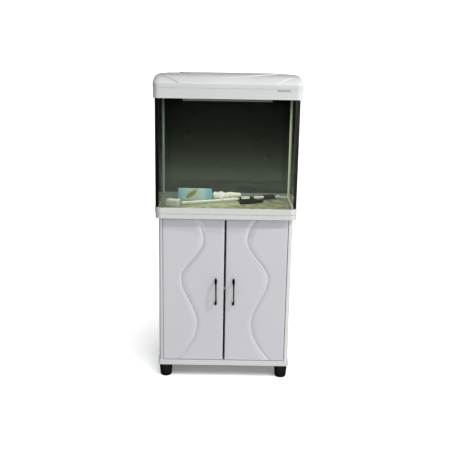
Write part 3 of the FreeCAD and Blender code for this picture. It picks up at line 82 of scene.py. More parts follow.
# How bright the surround is: the white band at the horizon, the rest from straight down (-1) to
# overhead (1), from front (-1) to rear (1), and from left (-1) to right (1).
HORIZON = ((-0.05, 0.0), (-0.03, 1.0), (0.085, 1.0), (0.12, 0.0))
UP_LEVELS = ((-1.0, 0.26), (-0.05, 0.36), (0.05, 1.0), (0.35, 1.0), (1.0, 0.30))
DEPTH_LEVELS = ((-1.0, 1.0), (-0.2, 1.0), (0.3, 0.34), (1.0, 0.30))
SIDE_LEVELS = ((-1.0, 0.06), (-0.60, 0.20), (-0.36, 0.60), (0.36, 0.60), (1.0, 1.0))
SURROUND_STRENGTH = 1.72

# Lamps, as place, target, size, power and colour.
KEY_LAMP = ((1.61, -1.21, 3.0), (0, -0.16, 0.7), (0.18, 0.18), 46.0, (1.0, 0.98, 0.94))
FILL_LAMP = ((0.3, -4.2, 1.5), (0, 0, 0.7), (1.4, 1.4), 30.0, (0.86, 0.93, 1.0))
REAR_LAMP = ((-2.3, 2.9, 1.05), (0, 0.1, 0.7), (1.6, 1.2), 68.0, WHITE)

# The lamp in the hood hangs this far below its housing.
HOOD_LAMP_DROP = 0.002
HOOD_LAMP_SIZE = (0.34, 0.05)
HOOD_LAMP_POWER = 1.9
HOOD_LAMP_COLOUR = (1.0, 1.0, 0.96)

FLOOR_REACH = 80.0
FLOOR_COLOUR = (0.82, 0.82, 0.82)
FLOOR_GLOW = 0.06
PAPER_LIGHT_STRENGTH = 3.9
PAPER_LIGHT_ANGLE = math.radians(50)
PAPER_LIGHT_TILT = (math.radians(22), math.radians(6), 0)

# Upright screens, as half width, y, lowest z and highest z.
DARK_SCREEN = (4.5, -6.2, -3.0, 4.2)
REAR_SCREEN = (4.0, 2.6, 0.4, 3.6)
REAR_GLOW = 0.12

# How strongly the dark screen glows at each height, and in what colour.
SCREEN_LEVELS = (
    (-1.2, 0.10),
    (-0.55, 0.20),
    (-0.42, 0.50),
    (-0.25, 0.90),
    (0.0, 0.42),
    (0.22, 0.17),
    (0.45, 0.05),
    (0.85, 0.0),
)
SCREEN_COLOUR = (0.80, 0.92, 0.72)

# The bright card that lies in front of the doors: its outline in plan.
CARD_OUTLINE = (
    (-3.0, -0.19),
    (3.0, -0.19),
    (3.0, -4.6),
    (1.1, -3.35),
    (0.5, -2.95),
    (0.0, -2.70),
    (-0.5, -2.80),
    (-3.0, -2.95),
)
CARD_HEIGHT = 0.002
CARD_GLOW = 1.6
CARD_COLOUR = (1.0, 0.99, 0.97)


def add_object(name, mesh):
    thing = bpy.data.objects.new(name, mesh)
    bpy.context.scene.collection.objects.link(thing)
    return thing


def flat(name, corners, material):
    """A single flat face with its material."""
    mesh = bpy.data.meshes.new(name)
    mesh.from_pydata(corners, [], [tuple(range(len(corners)))])
    mesh.materials.append(material)
    return add_object(name, mesh)


def upright(name, half, y, low, high, material):
    corners = [(-half, y, low), (half, y, low), (half, y, high), (-half, y, high)]
    return flat(name, corners, material)


def hide_from(thing, *rays):
    for ray in rays:
        setattr(thing, "visible_" + ray, False)


def area_light(name, place, target, size, power, colour):
    """A lamp that only lights things: no mirror and no camera sees it."""
    data = bpy.data.lights.new(name, "AREA")
    data.shape = "RECTANGLE"
    data.size, data.size_y = size
    data.energy = power
    data.color = colour
    light = add_object(name, data)
    light.location = place
    light.rotation_mode = "QUATERNION"
    light.rotation_quaternion = (Vector(target) - Vector(place)).to_track_quat("-Z", "Y")
    hide_from(light, "camera", "glossy")
    return light


def set_stops(ramp, stops):
    """Gives a colour ramp its stops, as (position, colour)."""
    elements = ramp.color_ramp.elements
    while len(elements) < len(stops):
        elements.new(0.5)
    for element, (position, colour) in zip(elements, stops):
        element.position = position
        element.color = (*colour, 1.0)


def make_surround():
    """Even light from all round: dim above, below, behind and on the left, bright on the right."""
    world = bpy.data.worlds.new("surround")
    world.use_nodes = True
    tree = world.node_tree
    background = tree.nodes["Background"]
    where = tree.nodes.new("ShaderNodeTexCoord")
    split = tree.nodes.new("ShaderNodeSeparateXYZ")
    tree.links.new(where.outputs["Generated"], split.inputs[0])

    def level(axis, levels):
        span = tree.nodes.new("ShaderNodeMapRange")
        span.inputs["From Min"].default_value = -1.0
        tree.links.new(split.outputs[axis], span.inputs["Value"])
        ramp = tree.nodes.new("ShaderNodeValToRGB")
        set_stops(ramp, [(0.5 + 0.5 * place, (value,) * 3) for place, value in levels])
        tree.links.new(span.outputs["Result"], ramp.inputs["Fac"])
        return ramp.outputs["Color"]

    def join(operation, first, second):
        node = tree.nodes.new("ShaderNodeVectorMath")
        node.operation = operation
        tree.links.new(first, node.inputs[0])
        tree.links.new(second, node.inputs[1])
        return node.outputs[0]

    dome = join("MULTIPLY", level("Z", UP_LEVELS), level("Y", DEPTH_LEVELS))
    whole = join("MAXIMUM", dome, level("Z", HORIZON))
    whole = join("MULTIPLY", whole, level("X", SIDE_LEVELS))
    tree.links.new(whole, background.inputs["Color"])
    background.inputs["Strength"].default_value = SURROUND_STRENGTH
    bpy.context.scene.world = world


def make_floor():
    """The paper, with a broad light of its own that leaves only the contact shadow on it."""
    reach = FLOOR_REACH
    corners = [(-reach, -reach, 0), (reach, -reach, 0), (reach, reach, 0), (-reach, reach, 0)]
    floor = flat("floor", corners, glowing_paper("floor_paper", FLOOR_COLOUR, 0.9, FLOOR_GLOW))
    hide_from(floor, "diffuse", "glossy")
    only = bpy.data.collections.new("paper_only")
    only.objects.link(floor)
    data = bpy.data.lights.new("paper_light", "SUN")
    data.energy = PAPER_LIGHT_STRENGTH
    data.angle = PAPER_LIGHT_ANGLE
    lamp = add_object("paper_light", data)
    lamp.rotation_euler = PAPER_LIGHT_TILT
    lamp.light_linking.receiver_collection = only
    return floor


def make_rear_lamp(floor):
    """A broad lamp behind and to the left, which leaves the paper and its shadows alone."""
    others = bpy.data.collections.new("all_but_paper")
    others.objects.link(floor)
    others.collection_objects[0].light_linking.link_state = "EXCLUDE"
    lamp = area_light("rear_lamp", *REAR_LAMP)
    lamp.light_linking.receiver_collection = others


def make_cards():
    """Screens for the glass and the lid and a bright card for the doors, for mirrors only."""
    screen_glow = glow_levels("screen_glow", SCREEN_COLOUR, SCREEN_LEVELS)
    card_corners = [(x, y, CARD_HEIGHT) for x, y in CARD_OUTLINE]
    card_glow = glow_card("card_glow", CARD_COLOUR, CARD_GLOW).material
    rear_glow = glow_card("rear_glow", WHITE, REAR_GLOW).material
    for thing in (
        upright("dark_screen", *DARK_SCREEN, screen_glow),
        flat("bright_card", card_corners, card_glow),
        upright("rear_screen", *REAR_SCREEN, rear_glow),
    ):
        hide_from(thing, "camera", "diffuse", "shadow", "transmission")


def make_studio():
    """A pale floor, the surround, the cards, three soft lamps and the hood lamp."""
    make_rear_lamp(make_floor())
    make_surround()
    make_cards()
    area_light("key_lamp", *KEY_LAMP)
    area_light("fill_lamp", *FILL_LAMP)
    low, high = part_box("lamp_housing")
    middle = 0.5 * (low + high)
    start = (middle.x, middle.y, low.z - HOOD_LAMP_DROP)
    target = (middle.x, middle.y, 0.0)
    area_light("hood_lamp", start, target, HOOD_LAMP_SIZE, HOOD_LAMP_POWER, HOOD_LAMP_COLOUR)
    bpy.context.scene.view_settings.view_transform = "Standard"


# ---------------------------------------------------------------- material building

# Noise rarely leaves this range, so it is spread over it.
NOISE_LOW = 0.3
NOISE_HIGH = 0.7

# Sockets of the colour mixing node, which share their names.
MIX_FACTOR, MIX_FIRST, MIX_SECOND, MIX_RESULT = 0, 6, 7, 2


class Nodes:
    """A short way to write a material's node tree around one Principled shader."""

    def __init__(self, name, colour, rough, metallic=0.0):
        self.material = bpy.data.materials.new(name)
        self.material.use_nodes = True
        self.tree = self.material.node_tree
        self.shader = self.tree.nodes["Principled BSDF"]
        self.put(self.shader, "Base Color", (*colour, 1.0))
        self.put(self.shader, "Roughness", rough)
        self.put(self.shader, "Metallic", metallic)

    @classmethod
    def around(cls, material):
        """Opens a material that is already made."""
        made = cls.__new__(cls)
        made.material = material
        made.tree = material.node_tree
        made.shader = made.tree.nodes["Principled BSDF"]
        return made

    def add(self, kind, **values):
        node = self.tree.nodes.new(kind)
        for key, value in values.items():
            setattr(node, key, value)
        return node

    def put(self, node, socket, value):
        """Gives a socket a plain value or the output of another node."""
        if isinstance(value, bpy.types.NodeSocket):
            self.tree.links.new(value, node.inputs[socket])
        else:
            node.inputs[socket].default_value = value

    def coordinates(self, stretch=(1, 1, 1)):
        """Object coordinates in metres, stretched for grain."""
        mapping = self.add("ShaderNodeMapping")
        self.put(mapping, "Scale", stretch)
        self.put(mapping, "Vector", self.add("ShaderNodeTexCoord").outputs["Object"])
        return mapping.outputs["Vector"]

    def axis(self, name):
        """One object coordinate, in metres."""
        split = self.add("ShaderNodeSeparateXYZ")
        self.put(split, "Vector", self.coordinates())
        return split.outputs[name]

    def noise(self, scale, detail=2.0, rough=0.5, stretch=(1, 1, 1)):
        node = self.add("ShaderNodeTexNoise")
        self.put(node, "Scale", scale)
        self.put(node, "Detail", detail)
        self.put(node, "Roughness", rough)
        self.put(node, "Vector", self.coordinates(stretch))
        return node.outputs["Fac"]

    def cells(self, scale):
        node = self.add("ShaderNodeTexVoronoi")
        self.put(node, "Scale", scale)
        self.put(node, "Vector", self.coordinates())
        return node.outputs["Distance"]

    def span(self, source, low, high, start=NOISE_LOW, end=NOISE_HIGH):
        """Maps a factor from start..end to low..high."""
        node = self.add("ShaderNodeMapRange")
        self.put(node, "From Min", start)
        self.put(node, "From Max", end)
        self.put(node, "To Min", low)
        self.put(node, "To Max", high)
        self.put(node, "Value", source)
        return node.outputs["Result"]

    def ramp(self, source, stops):
        """Colours along a factor; stops are (position, colour)."""
        node = self.add("ShaderNodeValToRGB")
        set_stops(node, stops)
        self.put(node, "Fac", source)
        return node.outputs["Color"]

    def maths(self, operation, *values):
        node = self.add("ShaderNodeMath", operation=operation)
        for socket, value in enumerate(values):
            self.put(node, socket, value)
        return node.outputs[0]

    def vectors(self, operation, *values):
        """A sum of vectors; the node is returned, because its answer may be either output."""
        node = self.add("ShaderNodeVectorMath", operation=operation)
        for socket, value in enumerate(values):
            self.put(node, socket, value)
        return node

    def mix(self, factor, first, second, blend="MIX"):
        node = self.add("ShaderNodeMix", data_type="RGBA", blend_type=blend)
        self.put(node, MIX_FACTOR, factor)
        self.put(node, MIX_FIRST, first)
        self.put(node, MIX_SECOND, second)
        return node.outputs[MIX_RESULT]

    def mix_shaders(self, factor, first, second):
        node = self.add("ShaderNodeMixShader")
        for socket, value in enumerate((factor, first, second)):
            self.put(node, socket, value)
        return node.outputs[0]

    def bump(self, height, strength, distance, before=None):
        node = self.add("ShaderNodeBump")
        self.put(node, "Strength", strength)
        self.put(node, "Distance", distance)
        self.put(node, "Height", height)
        if before is not None:
            self.put(node, "Normal", before)
        self.put(self.shader, "Normal", node.outputs["Normal"])
        return node.outputs["Normal"]

    def colour(self, source):
        self.put(self.shader, "Base Color", source)

    def clouds(self, source, colour, dark, pale):
        """Lets the colour drift between two shades of itself."""
        stops = [(NOISE_LOW, shade(colour, dark)), (NOISE_HIGH, shade(colour, pale))]
        self.colour(self.ramp(source, stops))

    def roughness(self, source):
        self.put(self.shader, "Roughness", source)

    def specular(self, level):
        self.put(self.shader, "Specular IOR Level", level)

    def coat(self, weight, rough):
        self.put(self.shader, "Coat Weight", weight)
        self.put(self.shader, "Coat Roughness", rough)

    def glow(self, colour, strength):
        self.put(self.shader, "Emission Color", (*colour, 1.0))
        self.put(self.shader, "Emission Strength", strength)

    def translucent(self, weight, radius):
        self.put(self.shader, "Subsurface Weight", weight)
        self.put(self.shader, "Subsurface Radius", radius)


def shade(colour, factor):
    return tuple(min(1.0, part * factor) for part in colour)


def glowing_paper(name, colour, rough, glow):
    """The floor: matt paper with a little light of its own."""
    made = Nodes(name, colour, rough)
    made.clouds(made.noise(2.0), colour, 0.995, 1.0)
    made.glow(WHITE, glow)
    made.specular(0.0)
    return made.material


def glow_card(name, colour, glow):
    """A card that only gives light."""
    made = Nodes(name, BLACK, 1.0)
    made.specular(0.0)
    made.glow(colour, glow)
    return made


def glow_levels(name, colour, levels):
    """A card whose light follows several levels, given as (height, strength)."""
    made = glow_card(name, colour, 0.0)
    low_z, high_z = levels[0][0], levels[-1][0]
    along = made.span(made.axis("Z"), 0.0, 1.0, low_z, high_z)
    stops = [((z - low_z) / (high_z - low_z), (glow,) * 3) for z, glow in levels]
    made.put(made.shader, "Emission Strength", made.ramp(along, stops))
    return made.material


def foil(name, colour, rough, coat):
    """Glossy white foil on board: faint cloudiness, orange peel and smeared wiping marks."""
    made = Nodes(name, colour, rough)
    made.clouds(made.noise(3.0, detail=3.0), colour, 0.965, 1.02)
    smears = made.noise(7.0, detail=4.0, rough=0.6, stretch=(1, 1, 0.35))
    made.roughness(made.span(smears, rough - 0.02, rough + 0.04))
    made.coat(coat, rough=0.03)
    waves = made.bump(made.noise(9.0, detail=1.0), strength=0.06, distance=0.002)
    peel = made.noise(420.0, detail=1.0)
    made.bump(peel, strength=0.05, distance=0.0004, before=waves)
    return made.material


def moulded(name, colour, rough, grain=600.0, depth=0.12, coat=0.0):
    """Moulded plastic with a fine grain, slight clouding and polish that varies."""
    made = Nodes(name, colour, rough)
    made.clouds(made.noise(5.0, detail=4.0), colour, 0.95, 1.03)
    polish = made.noise(16.0, detail=4.0, rough=0.6)
    made.roughness(made.span(polish, rough - 0.06, rough + 0.08))
    if coat:
        made.coat(coat, rough=0.15)
    made.bump(made.noise(grain), strength=depth, distance=0.0005)
    return made.material


def steel(name, colour, rough):
    """Metal with fine drawn lines."""
    made = Nodes(name, colour, rough, metallic=1.0)
    made.clouds(made.noise(60.0, detail=3.0), colour, 0.82, 1.0)
    lines = made.noise(900.0, rough=0.6, stretch=(1, 1, 12))
    made.roughness(made.span(lines, rough - 0.06, rough + 0.12))
    made.bump(lines, strength=0.08, distance=0.0002)
    return made.material


def rubber(name, colour, rough, shine=0.5):
    """Dark rubber or satin plastic, worn unevenly."""
    made = Nodes(name, colour, rough)
    made.specular(shine)
    made.clouds(made.noise(30.0, detail=4.0), colour, 0.7, 1.5)
    wear = made.noise(80.0, detail=4.0, rough=0.6)
    made.roughness(made.span(wear, rough - 0.1, rough + 0.12))
    made.bump(made.noise(500.0, detail=3.0), strength=0.2, distance=0.0004)
    return made.material


def hardboard():
    """Thin painted fibreboard: flat colour with a pressed, fibrous surface."""
    made = Nodes("hardboard", (0.52, 0.50, 0.46), 0.62)
    fibres = made.noise(90.0, detail=6.0, rough=0.7, stretch=(1, 1, 0.4))
    stops = [(NOISE_LOW, (0.42, 0.40, 0.36)), (NOISE_HIGH, (0.58, 0.56, 0.52))]
    made.colour(made.ramp(fibres, stops))
    made.bump(made.noise(350.0, detail=4.0, rough=0.7), strength=0.25, distance=0.0006)
    return made.material


def film():
    """Black film on the back pane, also wrapped round the side panes as a dark sheet for painted
    shade, with a soft sheen and faint ripples.
    """
    made = Nodes("dark_film", (0.005, 0.006, 0.005), 0.34)
    made.specular(0.25)
    stops = [(NOISE_LOW, (0.003, 0.004, 0.003)), (NOISE_HIGH, (0.007, 0.009, 0.006))]
    made.colour(made.ramp(made.noise(4.0, detail=4.0), stops))
    made.roughness(made.span(made.noise(14.0, detail=4.0), 0.26, 0.44))
    made.bump(made.noise(6.0), strength=0.15, distance=0.002)
    return made.material


def porous(name, colour, scale):
    """Open-celled sponge: painted shade darkens the pores between pale struts."""
    made = Nodes(name, colour, 0.85)
    pores = made.cells(scale)
    # Painted shade: the colour darkens towards the middle of each cell, where the pores are.
    painted_pore_shade = ((0.0, 0.35), (0.45, 0.9), (1.0, 1.15))
    made.colour(made.ramp(pores, [(place, shade(colour, factor)) for place, factor in painted_pore_shade]))
    made.translucent(0.15, (0.003, 0.003, 0.002))
    made.bump(pores, strength=0.9, distance=0.0015)
    return made.material


# ---------------------------------------------------------------- special materials

# The lid's crease in plan, from its front edge to the top of its side, and the step across it.
CREASE_START = (0.196, 0.0)
CREASE_END = (0.257, 0.042)
CREASE_HALF = 0.0025
CREASE_STEP = 0.0045

# The crease fades out behind its end, and below the height where the lid turns upright.
CREASE_FADE = 0.02
LID_BREAK = 1.2755
LID_BREAK_FADE = 0.003

HOOD_COLOUR = (0.66, 0.68, 0.665)
HOOD_ROUGH = 0.36
HOOD_SKIN = {"grain": 450.0, "depth": 0.10, "coat": 0.2}


def creased_lid():
    """The hood's plastic, with the step of its raised middle drawn in along the two creases."""
    material = moulded("lid_plastic", HOOD_COLOUR, HOOD_ROUGH, **HOOD_SKIN)
    made = Nodes.around(material)
    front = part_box("hood_lid")[0].y
    run_x = CREASE_END[0] - CREASE_START[0]
    run_y = CREASE_END[1] - CREASE_START[1]
    length = math.hypot(run_x, run_y)
    out_x, out_y = run_y / length, -run_x / length
    offset = out_x * CREASE_START[0] + out_y * (CREASE_START[1] + front)
    mirrored = made.vectors("ABSOLUTE", made.coordinates())
    beyond = made.vectors("DOT_PRODUCT", mirrored.outputs[0], (out_x, -out_y, 0.0))
    distance = made.maths("SUBTRACT", beyond.outputs["Value"], offset)
    step = made.span(distance, 1.0, 0.0, -CREASE_HALF, CREASE_HALF)
    end = front + CREASE_END[1]
    near = made.span(made.axis("Y"), 1.0, 0.0, end, end + CREASE_FADE)
    above = made.span(made.axis("Z"), 0.0, 1.0, LID_BREAK, LID_BREAK + LID_BREAK_FADE)
    grain = made.shader.inputs["Normal"].links[0].from_node
    crease = made.add("ShaderNodeBump")
    made.put(crease, "Distance", CREASE_STEP)
    made.put(crease, "Strength", made.maths("MULTIPLY", near, above))
    made.put(crease, "Height", step)
    made.put(grain, "Normal", crease.outputs["Normal"])
    return material


# A painted highlight along the left flank of a handle, left of its middle, and where its black
# ends begin and are full, above and below its middle.
PAINTED_HIGHLIGHT_START = -3.8 * MM
PAINTED_HIGHLIGHT_END = -0.8 * MM
PAINTED_HIGHLIGHT_COLOURS = (
    (0.0, (0.70, 0.70, 0.67)),
    (0.40, (0.36, 0.36, 0.34)),
    (0.75, (0.026, 0.027, 0.029)),
)
ENDS_START = 34 * MM
ENDS_FULL = 46 * MM
ENDS_SHADE = (0.04, 0.04, 0.04)


def handle_metal(word):
    """Dark polished bars: black leaf-shaped ends, and a painted highlight along one flank between
    them.
    """
    made = Nodes("handle_metal_" + word, (0.12, 0.12, 0.125), 0.24, metallic=1.0)
    low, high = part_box("handle_bow_" + word)
    middle = 0.5 * (low + high)
    # Painted highlight: the colour is bright on the left flank and falls to dark across the bar.
    across = made.span(made.axis("X"), 0.0, 1.0, middle.x + PAINTED_HIGHLIGHT_START, middle.x + PAINTED_HIGHLIGHT_END)
    away = made.maths("ABSOLUTE", made.maths("SUBTRACT", made.axis("Z"), middle.z))
    toward_end = made.span(away, 0.0, 1.0, ENDS_START, ENDS_FULL)
    ends = made.ramp(toward_end, [(0.0, WHITE), (1.0, ENDS_SHADE)])
    made.colour(made.mix(1.0, made.ramp(across, PAINTED_HIGHLIGHT_COLOURS), ends, blend="MULTIPLY"))
    polish = made.noise(300.0, detail=3.0, rough=0.6, stretch=(1, 1, 0.1))
    made.roughness(made.span(polish, 0.20, 0.34))
    made.bump(made.noise(700.0, stretch=(1, 1, 0.1)), strength=0.05, distance=0.0002)
    return made.material


GLASS_INDEX = 1.5
DUST_COLOUR = (0.5, 0.55, 0.45)


def pane(name, tint, gloss, haze, haze_colour=DUST_COLOUR):
    """Thin clear glass: it lets a tinted view through, mirrors at a slant and may be dusty."""
    made = Nodes(name, tint, 0.05)
    clear = made.add("ShaderNodeBsdfTransparent")
    made.put(clear, "Color", (*tint, 1.0))
    mirror = made.add("ShaderNodeBsdfGlossy")
    made.put(mirror, "Color", (*WHITE, 1.0))
    made.put(mirror, "Roughness", 0.03)
    slant = made.add("ShaderNodeFresnel")
    made.put(slant, "IOR", GLASS_INDEX)
    strength = made.maths("MULTIPLY", slant.outputs[0], gloss)
    clean = made.mix_shaders(strength, clear.outputs[0], mirror.outputs[0])
    dust = made.add("ShaderNodeBsdfDiffuse")
    made.put(dust, "Color", (*haze_colour, 1.0))
    spots = made.span(made.noise(24.0, detail=6.0, rough=0.65), 0.35 * haze, 1.25 * haze)
    dusty = made.mix_shaders(spots, clean, dust.outputs[0])
    made.put(made.tree.nodes["Material Output"], "Surface", dusty)
    made.tree.nodes.remove(made.shader)
    return made.material


# The sealant's colour at the left, darker, and at the right, paler and yellower.
SEAL_REACH = 0.28
SEAL_LEFT_COLOUR = (0.23, 0.30, 0.26)
SEAL_RIGHT_COLOUR = (0.72, 0.78, 0.56)


def silicone():
    """Pale green translucent sealant with a slightly uneven skin."""
    made = Nodes("silicone", (0.30, 0.36, 0.26), 0.32)
    # The colour runs from dark at the left to pale at the right.
    rightward = made.span(made.axis("X"), 0.0, 1.0, -SEAL_REACH, SEAL_REACH)
    tone = made.maths("ADD", rightward, made.span(made.noise(40.0, detail=4.0), -0.12, 0.12))
    made.colour(made.ramp(tone, [(0.0, SEAL_LEFT_COLOUR), (1.0, SEAL_RIGHT_COLOUR)]))
    made.translucent(0.35, (0.004, 0.006, 0.004))
    made.bump(made.noise(120.0, detail=3.0), strength=0.25, distance=0.0008)
    return made.material


WOOL_COLOURS = (
    (0.25, (0.80, 0.79, 0.66)),
    (0.6, (0.95, 0.94, 0.86)),
    (0.8, (0.97, 0.96, 0.92)),
)


def fleece():
    """Loose filter wool: soft fibres in every direction."""
    made = Nodes("wool", (0.66, 0.66, 0.52), 0.95)
    fibres = made.noise(260.0, detail=8.0, rough=0.75, stretch=(1, 0.5, 1))
    made.colour(made.ramp(fibres, WOOL_COLOURS))
    made.put(made.shader, "Sheen Weight", 0.4)
    made.put(made.shader, "Sheen Roughness", 0.5)
    made.bump(fibres, strength=0.9, distance=0.002)
    return made.material


# The carton's plain panels, from its left end to its right end.
CARTON_PANELS = (
    (0.0, (0.20, 0.46, 0.58)),
    (0.14, (0.36, 0.64, 0.76)),
    (0.22, (0.48, 0.62, 0.63)),
    (0.58, (0.58, 0.64, 0.58)),
    (0.74, (0.52, 0.72, 0.76)),
    (0.90, (0.24, 0.52, 0.64)),
)
LEAF_PLACE = (0.40, 0.55)
LEAF_SLOPE = math.radians(38)
LEAF_HALF_LENGTH = 0.032
LEAF_HALF_WIDTH = 0.011
LEAF_COLOURS = ((0.35, (0.10, 0.19, 0.05)), (0.65, (0.34, 0.44, 0.12)))


def carton():
    """A plain printed carton: blue and teal end panels, a pale middle and a soft leaf shape."""
    made = Nodes("carton", (0.6, 0.7, 0.7), 0.4)
    low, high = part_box("media_pack")
    along = made.span(made.axis("X"), 0.0, 1.0, low.x, high.x)
    leaf_x = low.x + LEAF_PLACE[0] * (high.x - low.x)
    leaf_z = low.z + LEAF_PLACE[1] * (high.z - low.z)
    centre = Matrix.Rotation(LEAF_SLOPE, 3, "Y") @ Vector((leaf_x, 0, leaf_z))
    where = made.add("ShaderNodeMapping", vector_type="POINT")
    made.put(where, "Vector", made.add("ShaderNodeTexCoord").outputs["Object"])
    made.put(where, "Rotation", (0, LEAF_SLOPE, 0))
    made.put(where, "Location", (-centre.x, 0, -centre.z))
    shape = (1 / LEAF_HALF_LENGTH, 0, 1 / LEAF_HALF_WIDTH)
    stretched = made.vectors("MULTIPLY", where.outputs[0], shape)
    radius = made.vectors("LENGTH", stretched.outputs[0])
    ragged = made.span(made.noise(160.0, detail=4.0), -0.25, 0.25)
    edge = made.maths("ADD", radius.outputs["Value"], ragged)
    leaf = made.ramp(edge, [(0.85, WHITE), (1.0, BLACK)])
    green = made.ramp(made.noise(220.0, detail=3.0), LEAF_COLOURS)
    made.colour(made.mix(leaf, made.ramp(along, CARTON_PANELS), green))
    made.bump(made.noise(500.0), strength=0.1, distance=0.0003)
    return made.material


def make_materials():
    """One material for each slot of the record."""
    return {
        "white_board": foil("white_board", (0.70, 0.70, 0.70), 0.24, 0.35),
        "door_board": foil("door_board", (0.60, 0.595, 0.64), 0.30, 1.0),
        "hardboard": hardboard(),
        "black_plastic": rubber("black_plastic", (0.004, 0.004, 0.0035), 0.5, 0.12),
        "zinc_steel": steel("zinc_steel", (0.62, 0.62, 0.60), 0.32),
        "nylon": moulded("nylon", (0.70, 0.70, 0.66), 0.42),
        "magnet": steel("magnet", (0.10, 0.10, 0.10), 0.45),
        "handle_metal": handle_metal("right"),
        "handle_post": steel("handle_post", (0.05, 0.05, 0.052), 0.28),
        "trim_plastic": moulded("trim_plastic", (0.70, 0.71, 0.69), 0.34, 500.0, 0.08, 0.25),
        "hood_plastic": moulded("hood_plastic", HOOD_COLOUR, HOOD_ROUGH, **HOOD_SKIN),
        "badge_grey": moulded("badge_grey", (0.40, 0.41, 0.41), 0.4),
        "tank_glass": pane("tank_glass", (0.97, 0.985, 0.965), gloss=1.0, haze=0.002),
        "dark_film": film(),
        "silicone": silicone(),
        "foam": rubber("foam", (0.02, 0.02, 0.02), 0.85),
        "lamp_plastic": moulded("lamp_plastic", (0.36, 0.40, 0.34), 0.4),
        "circuit": moulded("circuit", (0.62, 0.66, 0.60), 0.45, grain=200.0),
        "milky_plastic": moulded("milky_plastic", (0.60, 0.64, 0.55), 0.4),
        "tray_plastic": moulded("tray_plastic", (0.02, 0.021, 0.022), 0.45),
        "sponge": porous("sponge", (0.96, 0.97, 0.88), 420.0),
        "dark_sponge": porous("dark_sponge", (0.06, 0.075, 0.09), 300.0),
        "wool": fleece(),
        "white_tube": moulded("white_tube", (0.92, 0.94, 0.90), 0.3, grain=300.0, depth=0.05),
        "carton": carton(),
    }


FLOOR_GLASS_TINT = (0.84, 0.91, 0.73)
FLOOR_DUST = (0.74, 0.75, 0.52)


def dress(materials):
    """Gives every node the material of its slot, and two nodes one of their own."""
    for name, node in NODES.items():
        node.data.materials.clear()
        node.data.materials.append(materials[SLOTS[name]])
    dusty = pane("floor_glass_dusty", FLOOR_GLASS_TINT, 0.8, 0.40, FLOOR_DUST)
    NODES["floor_glass"].data.materials[0] = dusty
    NODES["hood_lid"].data.materials[0] = creased_lid()


# ---------------------------------------------------------------- mesh helpers


def finish_mesh(thing, body, slot_name, material, *stands_for):
    """Normals, material, body and the nodes that a new piece stands for."""
    work = bmesh.new()
    work.from_mesh(thing.data)
    bmesh.ops.recalc_face_normals(work, faces=work.faces)
    work.to_mesh(thing.data)
    work.free()
    thing.data.materials.clear()
    thing.data.materials.append(material)
    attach(thing, body)
    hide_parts(*stands_for)


def smooth(thing, degrees):
    """Smooth shading, with edges kept sharp from the given angle up."""
    for face in thing.data.polygons:
        face.use_smooth = True
    thing.data.set_sharp_from_angle(angle=math.radians(degrees))


def apply_modifiers(thing):
    """Replaces the mesh by the one that its modifiers make."""
    graph = bpy.context.evaluated_depsgraph_get()
    made = bpy.data.meshes.new_from_object(thing.evaluated_get(graph))
    thing.modifiers.clear()
    thing.data = made


def smoothstep(low, high, value):
    t = max(0.0, min(1.0, (value - low) / (high - low)))
    return t * t * (3.0 - 2.0 * t)


def spread(start, end, count):
    return [start + (end - start) * step / count for step in range(count + 1)]


# ---------------------------------------------------------------- doors

# The groove's line on the right door in millimetres, as (across, up, slope dx/dz).
WAVE = (
    (203.0, 83.0, -0.97),
    (117.5, 254.0, 0.0),
    (187.0, 457.0, 0.0),
    (92.5, 626.0, 0.0),
    (131.0, 717.5, 0.88),
)
GROOVE_HALF = 4.2 * MM
GROOVE_DEPTH = 3.0 * MM
GROOVE_FULLNESS = 0.8
GROOVE_STEPS = (-1.0, -0.8, -0.6, -0.4, -0.2, 0.0, 0.2, 0.4, 0.6, 0.8, 1.0)
EDGE_ROUND = 1.2 * MM
MEETING_ROUND = 4.5 * MM
RIM_ANGLES = (0, 15, 30, 45, 60, 75, 90)
DOOR_ROWS = 210
DOOR_COLUMNS = 6
DOOR_SHARP = 40


def wave_at(z):
    """Where the groove is at a height, and its slope, from a cubic between each two points."""
    height = z / MM
    pairs = list(zip(WAVE, WAVE[1:]))
    chosen = next((pair for pair in pairs if height <= pair[1][1]), pairs[-1])
    (x0, z0, m0), (x1, z1, m1) = chosen
    run = z1 - z0
    t = max(0.0, min(1.0, (height - z0) / run))
    value = ((2 * t**3 - 3 * t**2 + 1) * x0 + (t**3 - 2 * t**2 + t) * run * m0
             + (3 * t**2 - 2 * t**3) * x1 + (t**3 - t**2) * run * m1)
    slope = ((6 * t**2 - 6 * t) * (x0 - x1) / run + (3 * t**2 - 4 * t + 1) * m0
             + (3 * t**2 - 2 * t) * m1)
    return value * MM, slope


def groove_depth(across):
    """How deep the rounded groove is at a distance from its middle line."""
    if abs(across) >= GROOVE_HALF:
        return 0.0
    rise = 0.5 + 0.5 * math.cos(math.pi * across / GROOVE_HALF)
    return GROOVE_DEPTH * rise ** GROOVE_FULLNESS


def edge_drop(distance, radius):
    """How far the face falls back within a rounded rim."""
    away = max(0.0, radius - distance)
    return radius - math.sqrt(radius**2 - away**2)


def rim_steps(radius):
    """Distances from the edge at which a rounded rim gets its points."""
    return [radius * (1 - math.cos(math.radians(angle))) for angle in RIM_ANGLES]


